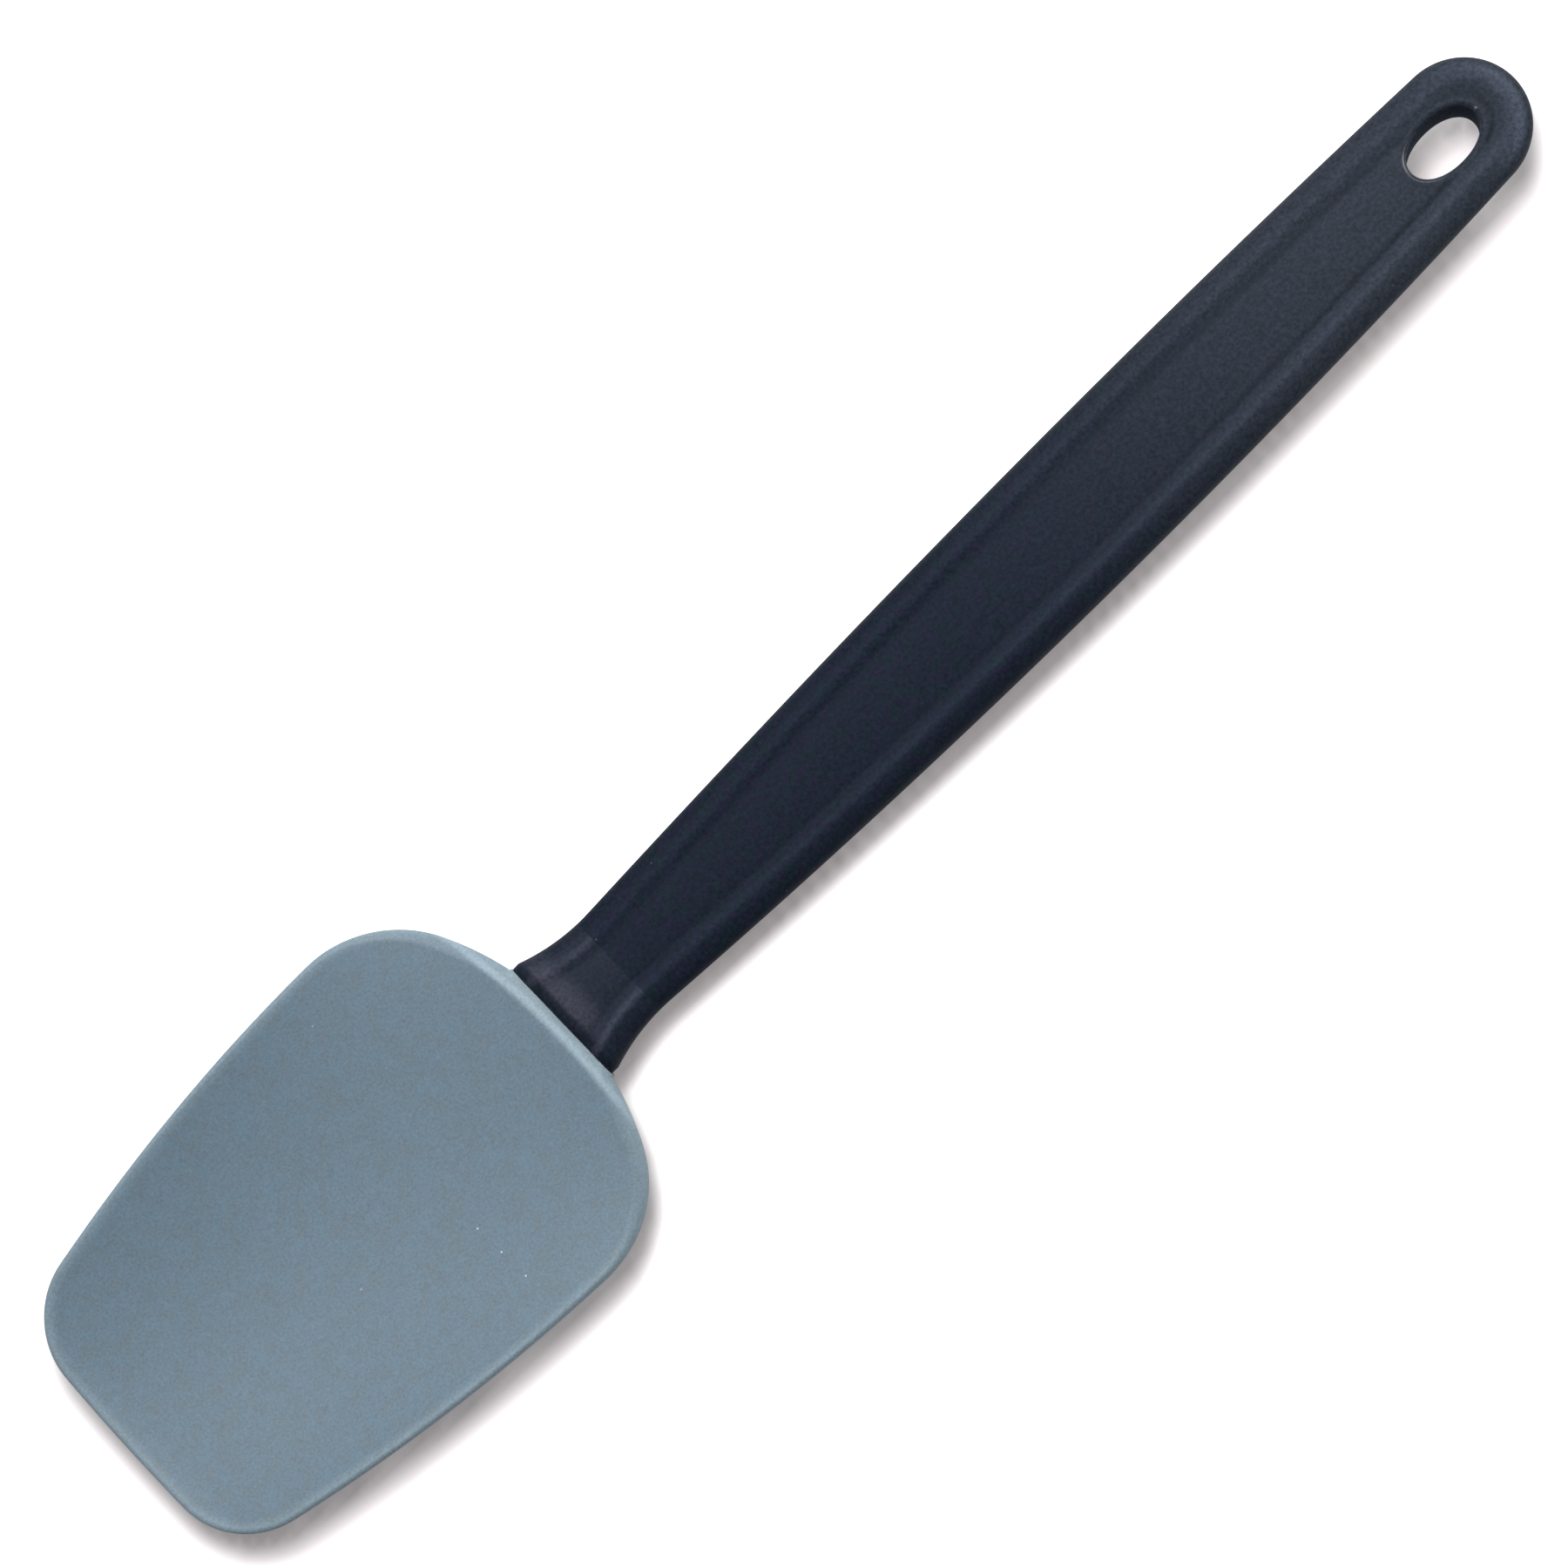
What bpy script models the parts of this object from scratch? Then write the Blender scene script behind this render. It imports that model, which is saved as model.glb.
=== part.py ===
"""A silicone spoon: a silicone head moulded over a stiff core, whose tang sits in a hard moulded handle.

Units are metres and +Z is up. The spoon lies on its back as on a table: the scoop opens upwards, the head
points to -X, and the origin is on the table under the middle of the spoon. Lengths along the spoon are given
as a distance from the tip of the head, called the station. Heights are above the table.
"""

import math

import bmesh
import bpy
from mathutils import Vector

MM = 0.001

# Overall
OVERALL_LENGTH = 280 * MM
SEAM_AT = 87.5 * MM
CLEARANCE = 0.3 * MM

# Head, seen from above
HEAD_WIDTH = 63.6 * MM
BACK_RADIUS = 48.4 * MM
SHOULDER_RADIUS = 18.5 * MM
SIDE_RADIUS = 293 * MM
TIP_EDGE_RADIUS = 240 * MM
TIP_CORNER_RADIUS = 13.6 * MM
TIP_CORNER_SPACING = 24.2 * MM
STUB_OVERHANG = 0.35 * MM
STUB_LENGTH = 0.3 * MM

# Head, seen from the side: height and slope of the rim, the scoop's floor and the back
RIM_TIP_HEIGHT = 11.5 * MM
RIM_TIP_SLOPE = -0.02
RIM_SEAM_SLOPE = -0.13
FLOOR_TIP_HEIGHT = 9.0 * MM
FLOOR_TIP_SLOPE = -0.15
CREST_BEFORE_SEAM = 3.2 * MM
CREST_HEIGHT = 7.4 * MM
CREST_SLOPE = 0.14
SEAM_FALL_SLOPE = -0.45
BACK_TIP_HEIGHT = 8.1 * MM
BACK_TIP_SLOPE = -0.37
BACK_SEAM_SLOPE = 0.11

# Head, edges
RIM_THICKNESS = 2.0 * MM
TIP_THICKNESS = 1.2 * MM
TIP_TAPER_LENGTH = 15 * MM
NECK_BLEND_LENGTH = 22 * MM
RIM_ROUNDING = 0.9 * MM
NECK_ROUNDING = 2.4 * MM
LIP_RISE = 0.5 * MM
LIP_LENGTH = 5 * MM
BELLY_FULLNESS = 0.8

# Seam between head and collar
SEAM_MID_HEIGHT = 4.6 * MM
SEAM_THICKNESS = 5.0 * MM

# Core
PADDLE_SET_BACK = 26 * MM
PADDLE_WIDTH = 38 * MM
PADDLE_CORNER_RADIUS = 9 * MM
PADDLE_TAPER_LENGTH = 21 * MM
PADDLE_NECK_BEFORE_SEAM = 4.5 * MM
PADDLE_THICKNESS = 2.4 * MM
PADDLE_EDGE_THICKNESS = 1.3 * MM
TANG_WIDTH = 12 * MM
TANG_SKIN = 0.7 * MM
TANG_LENGTH = 46 * MM
ANCHOR_HOLE_RADIUS = 3.0 * MM
ANCHOR_PITCH = 14 * MM
ANCHOR_ROW_SPACING = 11 * MM
FIRST_ANCHOR_IN = 12 * MM
LOCK_HOLE_RADIUS = 2.2 * MM
LOCK_PITCH = 18 * MM
LAST_LOCK_IN = 11.5 * MM

# Handle, seen from above
HANDLE_WIDTH = 23.1 * MM
WIDEST_PAST_SEAM = 111.5 * MM
NECK_WIDTH = 17.5 * MM
NECK_PAST_SEAM = 11.8 * MM
NECK_RADIUS = 32 * MM
COLLAR_WIDTH = 21.1 * MM

# Handle, seen from the side
HANDLE_SEAM_SLOPE = -0.04
HANDLE_END_HEIGHT = 11.6 * MM
HANDLE_END_SLOPE = 0.075
COLLAR_THICKNESS = 7.8 * MM
COLLAR_EDGE_LENGTH = 2.0 * MM
NECK_THICKNESS = 6.6 * MM
NECK_THICKNESS_SLOPE = 0.03
THICKEST_PAST_SEAM = 82.5 * MM
HANDLE_THICKNESS = 8.8 * MM
END_THICKNESS = 7.2 * MM
END_THICKNESS_SLOPE = -0.02

# Handle, rims and crowned panel
SIDE_ROUNDING = 3.3 * MM
WIDEST_LINE_DROP = 0.65
GROOVE_SLOPE_WIDTH = 2.2 * MM
PANEL_RECESS = 0.3 * MM
PANEL_CROWN = 0.26 * MM
COLLAR_RECESS_SHARE = 0.6
RECESS_PAST_SEAM = 4.5 * MM
RECESS_FADE_LENGTH = 43 * MM

# Hang slot
SLOT_LENGTH = 12.4 * MM
SLOT_WIDTH = 7.8 * MM
SLOT_FROM_END = 13.9 * MM
SLOT_ROUNDING = 0.8 * MM
SLOT_FULLNESS = 2.1

# Looks
SILICONE_COLOUR = (0.17, 0.24, 0.28)
SILICONE_ROUGHNESS = 0.55
CORE_COLOUR = (0.02, 0.022, 0.026)
CORE_ROUGHNESS = 0.55
HANDLE_COLOUR = (0.02, 0.025, 0.04)
HANDLE_ROUGHNESS = 0.5

# Facets, and how meshes are joined, shaded and cut
ARC_STEPS = 9
EDGE_STEPS = 4
INNER_STEPS = 7
GRIP_STEPS = 38
ROUND_STEPS = 20
SLOT_STEPS = 40
FAN_AT = 16 * MM
WELD_DISTANCE = 0.001 * MM
SMOOTH_BELOW = math.radians(35)
CUTTER_REACH = 10 * MM


def clamp(value, low=0.0, high=1.0):
    return max(low, min(high, value))


def smooth(value):
    """0 to 1 with level ends."""
    value = clamp(value)
    return value * value * (3 - 2 * value)


def curve_height(at, start, end):
    """Height at a station on the cubic curve between two (station, height, slope) ends."""
    span = end[0] - start[0]
    t = (at - start[0]) / span
    return (
        (2 * t**3 - 3 * t**2 + 1) * start[1]
        + (t**3 - 2 * t**2 + t) * span * start[2]
        + (3 * t**2 - 2 * t**3) * end[1]
        + (t**3 - t**2) * span * end[2]
    )


def world(station, across, height):
    """A point given along, across and above the table, in the spoon's own frame."""
    return Vector((station - OVERALL_LENGTH / 2, across, height))


# Plan of the head

def head_end():
    """Station of the head's flat end, half a clearance in front of the seam."""
    return SEAM_AT - CLEARANCE / 2


def half_stub():
    """Half width of the short straight stub that meets the collar."""
    return COLLAR_WIDTH / 2 + STUB_OVERHANG


def stub_start():
    return Vector((head_end() - STUB_LENGTH, half_stub()))


def back_centre():
    """Centre of the arc that closes the head towards the handle and ends on the stub."""
    return Vector((stub_start().x - math.sqrt(BACK_RADIUS**2 - half_stub() ** 2), 0))


def shoulder_centre():
    """Centre of the arc at the head's widest place, which touches the back arc from the inside."""
    across = HEAD_WIDTH / 2 - SHOULDER_RADIUS
    along = math.sqrt((BACK_RADIUS - SHOULDER_RADIUS) ** 2 - across**2)
    return Vector((back_centre().x + along, across))


def tip_corner_centre():
    spacing = TIP_CORNER_SPACING / 2
    reach = TIP_EDGE_RADIUS - TIP_CORNER_RADIUS
    return Vector((TIP_EDGE_RADIUS - math.sqrt(reach**2 - spacing**2), spacing))


def side_centre():
    """Centre of the long side arc, which the tip corner and the shoulder touch from the inside."""
    tip = tip_corner_centre()
    shoulder = shoulder_centre()
    apart = (shoulder - tip).length
    to_tip = SIDE_RADIUS - TIP_CORNER_RADIUS
    to_shoulder = SIDE_RADIUS - SHOULDER_RADIUS
    along = (to_tip**2 - to_shoulder**2 + apart**2) / (2 * apart)
    off = math.sqrt(to_tip**2 - along**2)
    direction = (shoulder - tip) / apart
    return tip + direction * along + Vector((direction.y, -direction.x)) * off


def touch_point(large_centre, small_centre, large_radius):
    """Where a small circle touches the large one round it."""
    return large_centre + (small_centre - large_centre).normalized() * large_radius


def arc_points(centre, radius, start, end, steps):
    """(point, inward normal) pairs along an arc, without its last point."""
    first = math.atan2(start.y - centre.y, start.x - centre.x)
    last = math.atan2(end.y - centre.y, end.x - centre.x)
    pairs = []
    for step in range(steps):
        angle = first + (last - first) * step / steps
        outward = Vector((math.cos(angle), math.sin(angle)))
        pairs.append((centre + outward * radius, -outward))
    return pairs


def head_outline():
    """(point, inward normal) pairs from the seam round one side to the tip."""
    tip = tip_corner_centre()
    shoulder = shoulder_centre()
    side = side_centre()
    back = back_centre()
    tip_edge = Vector((TIP_EDGE_RADIUS, 0))
    back_end = touch_point(back, shoulder, BACK_RADIUS)
    side_start = touch_point(side, shoulder, SIDE_RADIUS)
    side_end = touch_point(side, tip, SIDE_RADIUS)
    tip_start = touch_point(tip_edge, tip, TIP_EDGE_RADIUS)
    tip_end = Vector((0, 0))
    pairs = [(Vector((head_end(), half_stub())), Vector((0, -1)))]
    pairs += arc_points(back, BACK_RADIUS, stub_start(), back_end, ARC_STEPS)
    pairs += arc_points(shoulder, SHOULDER_RADIUS, back_end, side_start, ARC_STEPS)
    pairs += arc_points(side, SIDE_RADIUS, side_start, side_end, ARC_STEPS)
    pairs += arc_points(tip, TIP_CORNER_RADIUS, side_end, tip_start, ARC_STEPS)
    pairs += arc_points(tip_edge, TIP_EDGE_RADIUS, tip_start, tip_end, ARC_STEPS)
    pairs.append((tip_end, Vector((1, 0))))
    return pairs


def side_half_width(station):
    """Half width of the head if its sides ran on past the rounded corners."""
    centre = side_centre()
    return centre.y + math.sqrt(SIDE_RADIUS**2 - (station - centre.x) ** 2)


def plan_half_width(station):
    """Half width of the head, with its shoulders and stub but without the rounding of its tip."""
    shoulder = shoulder_centre()
    back = back_centre()
    if station <= shoulder.x:
        return side_half_width(station)
    if station <= touch_point(back, shoulder, BACK_RADIUS).x:
        return shoulder.y + math.sqrt(SHOULDER_RADIUS**2 - (station - shoulder.x) ** 2)
    return max(half_stub(), math.sqrt(max(BACK_RADIUS**2 - (station - back.x) ** 2, 0)))


# Heights of the head

def seam_top():
    return SEAM_MID_HEIGHT + SEAM_THICKNESS / 2


def rim_height(station):
    tip = (0, RIM_TIP_HEIGHT, RIM_TIP_SLOPE)
    return curve_height(station, tip, (head_end(), seam_top(), RIM_SEAM_SLOPE))


def floor_height(station):
    """The scoop's floor on the axis: it rises to a crest in front of the seam and then falls to it."""
    crest = (SEAM_AT - CREST_BEFORE_SEAM, CREST_HEIGHT, CREST_SLOPE)
    if station <= crest[0]:
        return curve_height(station, (0, FLOOR_TIP_HEIGHT, FLOOR_TIP_SLOPE), crest)
    return curve_height(station, crest, (head_end(), seam_top(), SEAM_FALL_SLOPE))


def face_height(station, across):
    """Top of the head: a trough across, with a lip that curls up along the tip."""
    floor = floor_height(station)
    trough = (rim_height(station) - floor) * (across / side_half_width(station)) ** 2
    lip = LIP_RISE * clamp(1 - station / LIP_LENGTH) ** 2
    return floor + trough + lip


def neck_blend(station):
    """0 along the scoop and 1 at the seam, over the length in which the rim grows into the neck."""
    return smooth(1 - (head_end() - station) / NECK_BLEND_LENGTH)


def edge_thickness(station):
    """Thickness at the rim: thin at the tip and as thick as the seam at the stub."""
    tip_part = TIP_THICKNESS + (RIM_THICKNESS - TIP_THICKNESS) * smooth(station / TIP_TAPER_LENGTH)
    return tip_part + (SEAM_THICKNESS - tip_part) * neck_blend(station)


def edge_rounding(station):
    """How far in the rim's rounding reaches: a little on the scoop and more towards the neck."""
    return RIM_ROUNDING + (NECK_ROUNDING - RIM_ROUNDING) * neck_blend(station)


def head_thickness(station, across):
    """Thickness under the face: from the edge's at the rim to the back's curve on the axis."""
    tip = (0, BACK_TIP_HEIGHT, BACK_TIP_SLOPE)
    seam = (head_end(), seam_top() - SEAM_THICKNESS, BACK_SEAM_SLOPE)
    middle = face_height(station, 0) - curve_height(station, tip, seam)
    edge = edge_thickness(station)
    inside = clamp(1 - (across / plan_half_width(station)) ** 2)
    return edge + (middle - edge) * inside**BELLY_FULLNESS


def head_section(pair):
    """Half of one closed rib of the head, from the axis over the top, round the rim and back below.

    The rounding leans with the trough's own slope, so that it starts without a crease.
    """
    point, normal = pair
    rounding = edge_rounding(point.x)
    inner = point + normal * rounding
    further = inner + normal * rounding
    spine = Vector((max(point.x, FAN_AT), 0))
    top = face_height(inner.x, inner.y)
    rise = top - face_height(further.x, further.y)
    half = head_thickness(inner.x, inner.y) / 2
    upper = []
    lower = []
    for step in range(INNER_STEPS):
        at = spine.lerp(inner, step / INNER_STEPS)
        height = face_height(at.x, at.y)
        upper.append(world(at.x, at.y, height))
        lower.append(world(at.x, at.y, height - head_thickness(at.x, at.y)))
    edge = []
    for step in range(2 * EDGE_STEPS + 1):
        turn = math.pi / 2 - math.pi * step / (2 * EDGE_STEPS)
        at = point + normal * rounding * (1 - math.cos(turn))
        edge.append(world(at.x, at.y, top + rise * math.cos(turn) - half + half * math.sin(turn)))
    return upper + edge + lower[::-1]


# Core

def tang_thickness():
    """What the seam leaves between the silicone's skins, with the clearance off both faces."""
    return SEAM_THICKNESS - 2 * (TANG_SKIN + CLEARANCE)


def tang_end():
    return SEAM_AT + TANG_LENGTH


def paddle_neck_at():
    return SEAM_AT - PADDLE_NECK_BEFORE_SEAM


def neck_share(station):
    """0 on the paddle and 1 on the tang, along the taper between them."""
    return smooth(1 - (paddle_neck_at() - station) / PADDLE_TAPER_LENGTH)


def core_half_width(station):
    return PADDLE_WIDTH / 2 + (TANG_WIDTH - PADDLE_WIDTH) / 2 * neck_share(station)


def core_outline(grow):
    """Points from the tang's end round one side to the paddle's tip."""
    corner = Vector((PADDLE_SET_BACK + PADDLE_CORNER_RADIUS, PADDLE_WIDTH / 2 - PADDLE_CORNER_RADIUS))
    stations = [tang_end() + grow, SEAM_AT]
    taper = [PADDLE_TAPER_LENGTH * step / ARC_STEPS for step in range(ARC_STEPS + 1)]
    stations += [paddle_neck_at() - along for along in taper]
    stations += [(stations[-1] + corner.x) / 2]
    points = [Vector((station, core_half_width(station) + grow)) for station in stations]
    for step in range(ARC_STEPS + 1):
        angle = math.pi / 2 * (1 + step / ARC_STEPS)
        points.append(corner + Vector((math.cos(angle), math.sin(angle))) * (PADDLE_CORNER_RADIUS + grow))
    points.append(Vector((PADDLE_SET_BACK - grow, 0)))
    return points


def core_mid_height(station, across):
    """Halfway through the silicone in the head, and level in the handle."""
    if station >= head_end():
        return SEAM_MID_HEIGHT
    return face_height(station, across) - head_thickness(station, across) / 2


def core_half_thickness(station, across):
    inside = clamp(1 - (across / (PADDLE_WIDTH / 2)) ** 2)
    paddle = PADDLE_EDGE_THICKNESS + (PADDLE_THICKNESS - PADDLE_EDGE_THICKNESS) * inside
    return (paddle + (tang_thickness() - paddle) * neck_share(station)) / 2


def core_section(point, grow):
    """Half of one closed rib of the core, from the axis over the top to the edge and back below."""
    spine = Vector((max(point.x, PADDLE_SET_BACK + PADDLE_CORNER_RADIUS), 0))
    upper = []
    lower = []
    for step in range(INNER_STEPS + 1):
        at = spine.lerp(point, step / INNER_STEPS)
        middle = core_mid_height(at.x, at.y)
        half = core_half_thickness(at.x, at.y) + grow
        upper.append(world(at.x, at.y, middle + half))
        lower.append(world(at.x, at.y, middle - half))
    return upper + lower[::-1]


def anchor_hole_places():
    """Stations and offsets of the holes that the silicone fills: a middle row, and side rows between them."""
    first = PADDLE_SET_BACK + FIRST_ANCHOR_IN
    room = paddle_neck_at() - FIRST_ANCHOR_IN - first
    count = int(room / ANCHOR_PITCH) + 1
    places = [(first + ANCHOR_PITCH * step, 0) for step in range(count)]
    for side in (-1, 1):
        across = side * ANCHOR_ROW_SPACING
        places += [(first + ANCHOR_PITCH * (step + 0.5), across) for step in range(count - 1)]
    return places


def lock_hole_places():
    """The two holes of the tang that the handle's plastic fills."""
    last = tang_end() - LAST_LOCK_IN
    return [(last - LOCK_PITCH, 0), (last, 0)]


# Plan and heights of the handle

def handle_neck_at():
    return SEAM_AT + NECK_PAST_SEAM


def handle_widest_at():
    return SEAM_AT + WIDEST_PAST_SEAM


def side_arc_radius():
    """Radius of the grip's long side arc, which the neck's hollow arc touches from outside."""
    narrowing = (HANDLE_WIDTH - NECK_WIDTH) / 2
    along = handle_widest_at() - handle_neck_at()
    return (along**2 + narrowing**2) / (2 * narrowing) - NECK_RADIUS


def side_arc_centre():
    return Vector((handle_widest_at(), HANDLE_WIDTH / 2 - side_arc_radius()))


def end_radius():
    """Radius of the round end, which closes the two side arcs smoothly."""
    side = side_arc_centre()
    radius = side_arc_radius()
    ahead = OVERALL_LENGTH - side.x
    return (radius**2 - ahead**2 - side.y**2) / (2 * (radius - ahead))


def end_centre():
    return Vector((OVERALL_LENGTH - end_radius(), 0))


def handle_half_width(station):
    """Half width of the handle, without its round end: the collar, the hollow neck and the long side arc."""
    side = side_arc_centre()
    radius = side_arc_radius()
    neck = Vector((handle_neck_at(), NECK_WIDTH / 2 + NECK_RADIUS))
    meeting = neck.x + (side.x - neck.x) * NECK_RADIUS / (NECK_RADIUS + radius)
    if station >= meeting:
        return side.y + math.sqrt(radius**2 - (station - side.x) ** 2)
    flare = neck.y - math.sqrt(max(NECK_RADIUS**2 - (station - neck.x) ** 2, 0))
    return min(COLLAR_WIDTH / 2, flare)


def collar_start():
    """Station of the collar's flat face, half a clearance behind the seam."""
    return SEAM_AT + CLEARANCE / 2


def handle_mid_height(station):
    seam = (SEAM_AT, SEAM_MID_HEIGHT, HANDLE_SEAM_SLOPE)
    return curve_height(station, seam, (OVERALL_LENGTH, HANDLE_END_HEIGHT, HANDLE_END_SLOPE))


def handle_half_thickness(station):
    """Half thickness at the rims: a rounded front edge, the flare of the collar, then a long belly."""
    neck_at = handle_neck_at()
    neck = (neck_at, NECK_THICKNESS, NECK_THICKNESS_SLOPE)
    thickest = (SEAM_AT + THICKEST_PAST_SEAM, HANDLE_THICKNESS, 0)
    if station >= thickest[0]:
        return curve_height(station, thickest, (OVERALL_LENGTH, END_THICKNESS, END_THICKNESS_SLOPE)) / 2
    if station >= neck_at:
        return curve_height(station, neck, thickest) / 2
    edge_end = collar_start() + COLLAR_EDGE_LENGTH
    if station >= edge_end:
        rise = (neck_at - station) / (neck_at - edge_end)
        return (NECK_THICKNESS + (COLLAR_THICKNESS - NECK_THICKNESS) * rise) / 2
    lean = 1 - math.sqrt(clamp(1 - ((edge_end - station) / COLLAR_EDGE_LENGTH) ** 2))
    return (COLLAR_THICKNESS - (COLLAR_THICKNESS - SEAM_THICKNESS) * lean) / 2


def side_height(station, turn):
    """Height on the handle's rounded side, at a turn from upright: its widest line is nearer the top."""
    half = handle_half_thickness(station)
    drop = WIDEST_LINE_DROP if turn > 0 else 2 - WIDEST_LINE_DROP
    return handle_mid_height(station) + half * (1 - WIDEST_LINE_DROP + drop * math.sin(turn))


def recess_depth(station):
    """Depth of the grooves beside the rims, which are shallower at the collar."""
    grip_part = smooth((station - SEAM_AT - RECESS_PAST_SEAM) / RECESS_FADE_LENGTH)
    return PANEL_RECESS * (COLLAR_RECESS_SHARE + (1 - COLLAR_RECESS_SHARE) * grip_part)


def rim_band():
    """Width of a rim, from the outline to the bottom of its groove."""
    return SIDE_ROUNDING + GROOVE_SLOPE_WIDTH


def surface_offset(station, inset, reach):
    """Height of the handle's face over its middle, at an inset from the outline, past the side's rounding."""
    rim = handle_half_thickness(station)
    recess = recess_depth(station)
    if inset <= rim_band():
        return rim - recess * smooth((inset - SIDE_ROUNDING) / GROOVE_SLOPE_WIDTH)
    off_axis = (reach - inset) / (reach - rim_band())
    crown = PANEL_CROWN * recess / PANEL_RECESS * (1 - off_axis**2)
    return rim - recess + crown


def handle_outline():
    """(point, axis point) pairs from the collar's face along one side and round the end."""
    edge_end = collar_start() + COLLAR_EDGE_LENGTH
    turn_start = touch_point(side_arc_centre(), end_centre(), side_arc_radius())
    stations = []
    for step in range(EDGE_STEPS):
        turn = math.pi / 2 * step / EDGE_STEPS
        stations.append(collar_start() + COLLAR_EDGE_LENGTH * (1 - math.cos(turn)))
    flare = handle_neck_at() - edge_end
    stations += [edge_end + flare * step / INNER_STEPS for step in range(INNER_STEPS)]
    grip = turn_start.x - handle_neck_at()
    stations += [handle_neck_at() + grip * step / GRIP_STEPS for step in range(GRIP_STEPS)]
    pairs = [(Vector((at, handle_half_width(at))), Vector((at, 0))) for at in stations]
    first_angle = math.atan2(turn_start.y, turn_start.x - end_centre().x)
    for step in range(ARC_STEPS + 1):
        angle = first_angle * (1 - step / ARC_STEPS)
        rim = end_centre() + Vector((math.cos(angle), math.sin(angle))) * end_radius()
        pairs.append((rim, end_centre()))
    return pairs


def handle_section(pair):
    """Half of one closed rib of the handle: panel, rim, rounded side, rim and panel."""
    point, spine = pair
    reach = (point - spine).length
    inward = (spine - point) / reach
    band = rim_band()
    rim_steps = EDGE_STEPS - 1
    insets = [band + (reach - band) * (1 - step / EDGE_STEPS) for step in range(EDGE_STEPS)]
    insets += [band - GROOVE_SLOPE_WIDTH * step / rim_steps for step in range(rim_steps)]
    upper = []
    lower = []
    for inset in insets:
        at = point + inward * inset
        middle = handle_mid_height(at.x)
        offset = surface_offset(at.x, inset, reach)
        upper.append(world(at.x, at.y, middle + offset))
        lower.append(world(at.x, at.y, middle - offset))
    edge = []
    for step in range(2 * EDGE_STEPS + 1):
        turn = math.pi / 2 - math.pi * step / (2 * EDGE_STEPS)
        at = point + inward * SIDE_ROUNDING * (1 - math.cos(turn))
        edge.append(world(at.x, at.y, side_height(at.x, turn)))
    return upper + edge + lower[::-1]


# Meshes

def material(name, colour, roughness):
    made = bpy.data.materials.new(name)
    made.use_nodes = True
    shader = made.node_tree.nodes["Principled BSDF"]
    shader.inputs["Base Color"].default_value = (*colour, 1)
    shader.inputs["Roughness"].default_value = roughness
    shader.inputs["Metallic"].default_value = 0
    return made


def add_object(name, builder, cutter=False):
    """A new object from a bmesh, with its normals out."""
    bmesh.ops.recalc_face_normals(builder, faces=builder.faces)
    mesh = bpy.data.meshes.new(name)
    builder.to_mesh(mesh)
    builder.free()
    made = bpy.data.objects.new(name, mesh)
    bpy.context.collection.objects.link(made)
    made.hide_render = cutter
    made.display_type = "WIRE" if cutter else "TEXTURED"
    return made


def bridge(builder, one, other):
    """Faces between two closed loops of as many points."""
    for index in range(len(one)):
        following = (index + 1) % len(one)
        builder.faces.new((one[index], one[following], other[following], other[index]))


def skin_ribs(half_ribs):
    """A closed body through ribs: the first is capped flat, and the last folds shut on the axis."""
    builder = bmesh.new()
    loops = []
    for half in half_ribs:
        mirrored = [Vector((point.x, -point.y, point.z)) for point in half[::-1]]
        loops.append([builder.verts.new(point) for point in half + mirrored])
    for one, other in zip(loops, loops[1:]):
        bridge(builder, one, other)
    builder.faces.new(loops[0])
    bmesh.ops.remove_doubles(builder, verts=builder.verts, dist=WELD_DISTANCE)
    bmesh.ops.triangulate(builder, faces=[face for face in builder.faces if len(face.verts) > 4])
    return builder


def add_pins(builder, places, radius):
    """Upright round pins through the whole spoon, as separate closed bodies in one mesh."""
    low = -CUTTER_REACH
    high = RIM_TIP_HEIGHT + CUTTER_REACH
    for station, across in places:
        made = bmesh.ops.create_cone(
            builder, cap_ends=True, segments=ROUND_STEPS, radius1=radius, radius2=radius, depth=high - low
        )
        bmesh.ops.translate(builder, verts=made["verts"], vec=world(station, across, (low + high) / 2))


def cut(target, cutter, name):
    modifier = target.modifiers.new(name, "BOOLEAN")
    modifier.operation = "DIFFERENCE"
    modifier.solver = "EXACT"
    modifier.object = cutter


def finish(piece, look):
    piece.data.materials.append(look)
    piece.data.shade_smooth()
    piece.data.set_sharp_from_angle(angle=SMOOTH_BELOW)


def core_body(name, grow, cutter=False):
    """The core, or the space that it takes: grown all over, with its holes shrunk as much."""
    body = add_object(name, skin_ribs([core_section(point, grow) for point in core_outline(grow)]), cutter)
    builder = bmesh.new()
    add_pins(builder, anchor_hole_places(), ANCHOR_HOLE_RADIUS - grow)
    add_pins(builder, lock_hole_places(), LOCK_HOLE_RADIUS - grow)
    cut(body, add_object(name + "_holes", builder, cutter=True), "anchor and lock holes")
    return body


def table_cutter():
    """Everything under the table: it gives the head's back and the handle's rims a flat to rest on."""
    builder = bmesh.new()
    bmesh.ops.create_cube(builder, size=1)
    size = Vector((OVERALL_LENGTH + 2 * CUTTER_REACH, HEAD_WIDTH + 2 * CUTTER_REACH, CUTTER_REACH))
    bmesh.ops.scale(builder, vec=size, verts=builder.verts)
    bmesh.ops.translate(builder, verts=builder.verts, vec=Vector((0, 0, -CUTTER_REACH / 2)))
    return add_object("table_space", builder, cutter=True)


def slot_point(angle, outset):
    """Station and offset of a point of the slot's plan: a slightly squared oval, grown outwards."""
    cosine = math.cos(angle)
    sine = math.sin(angle)
    power = 2 / SLOT_FULLNESS
    along = math.copysign(abs(cosine) ** power, cosine) * (SLOT_LENGTH / 2 + outset)
    across = math.copysign(abs(sine) ** power, sine) * (SLOT_WIDTH / 2 + outset)
    return OVERALL_LENGTH - SLOT_FROM_END + along, across


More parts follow.
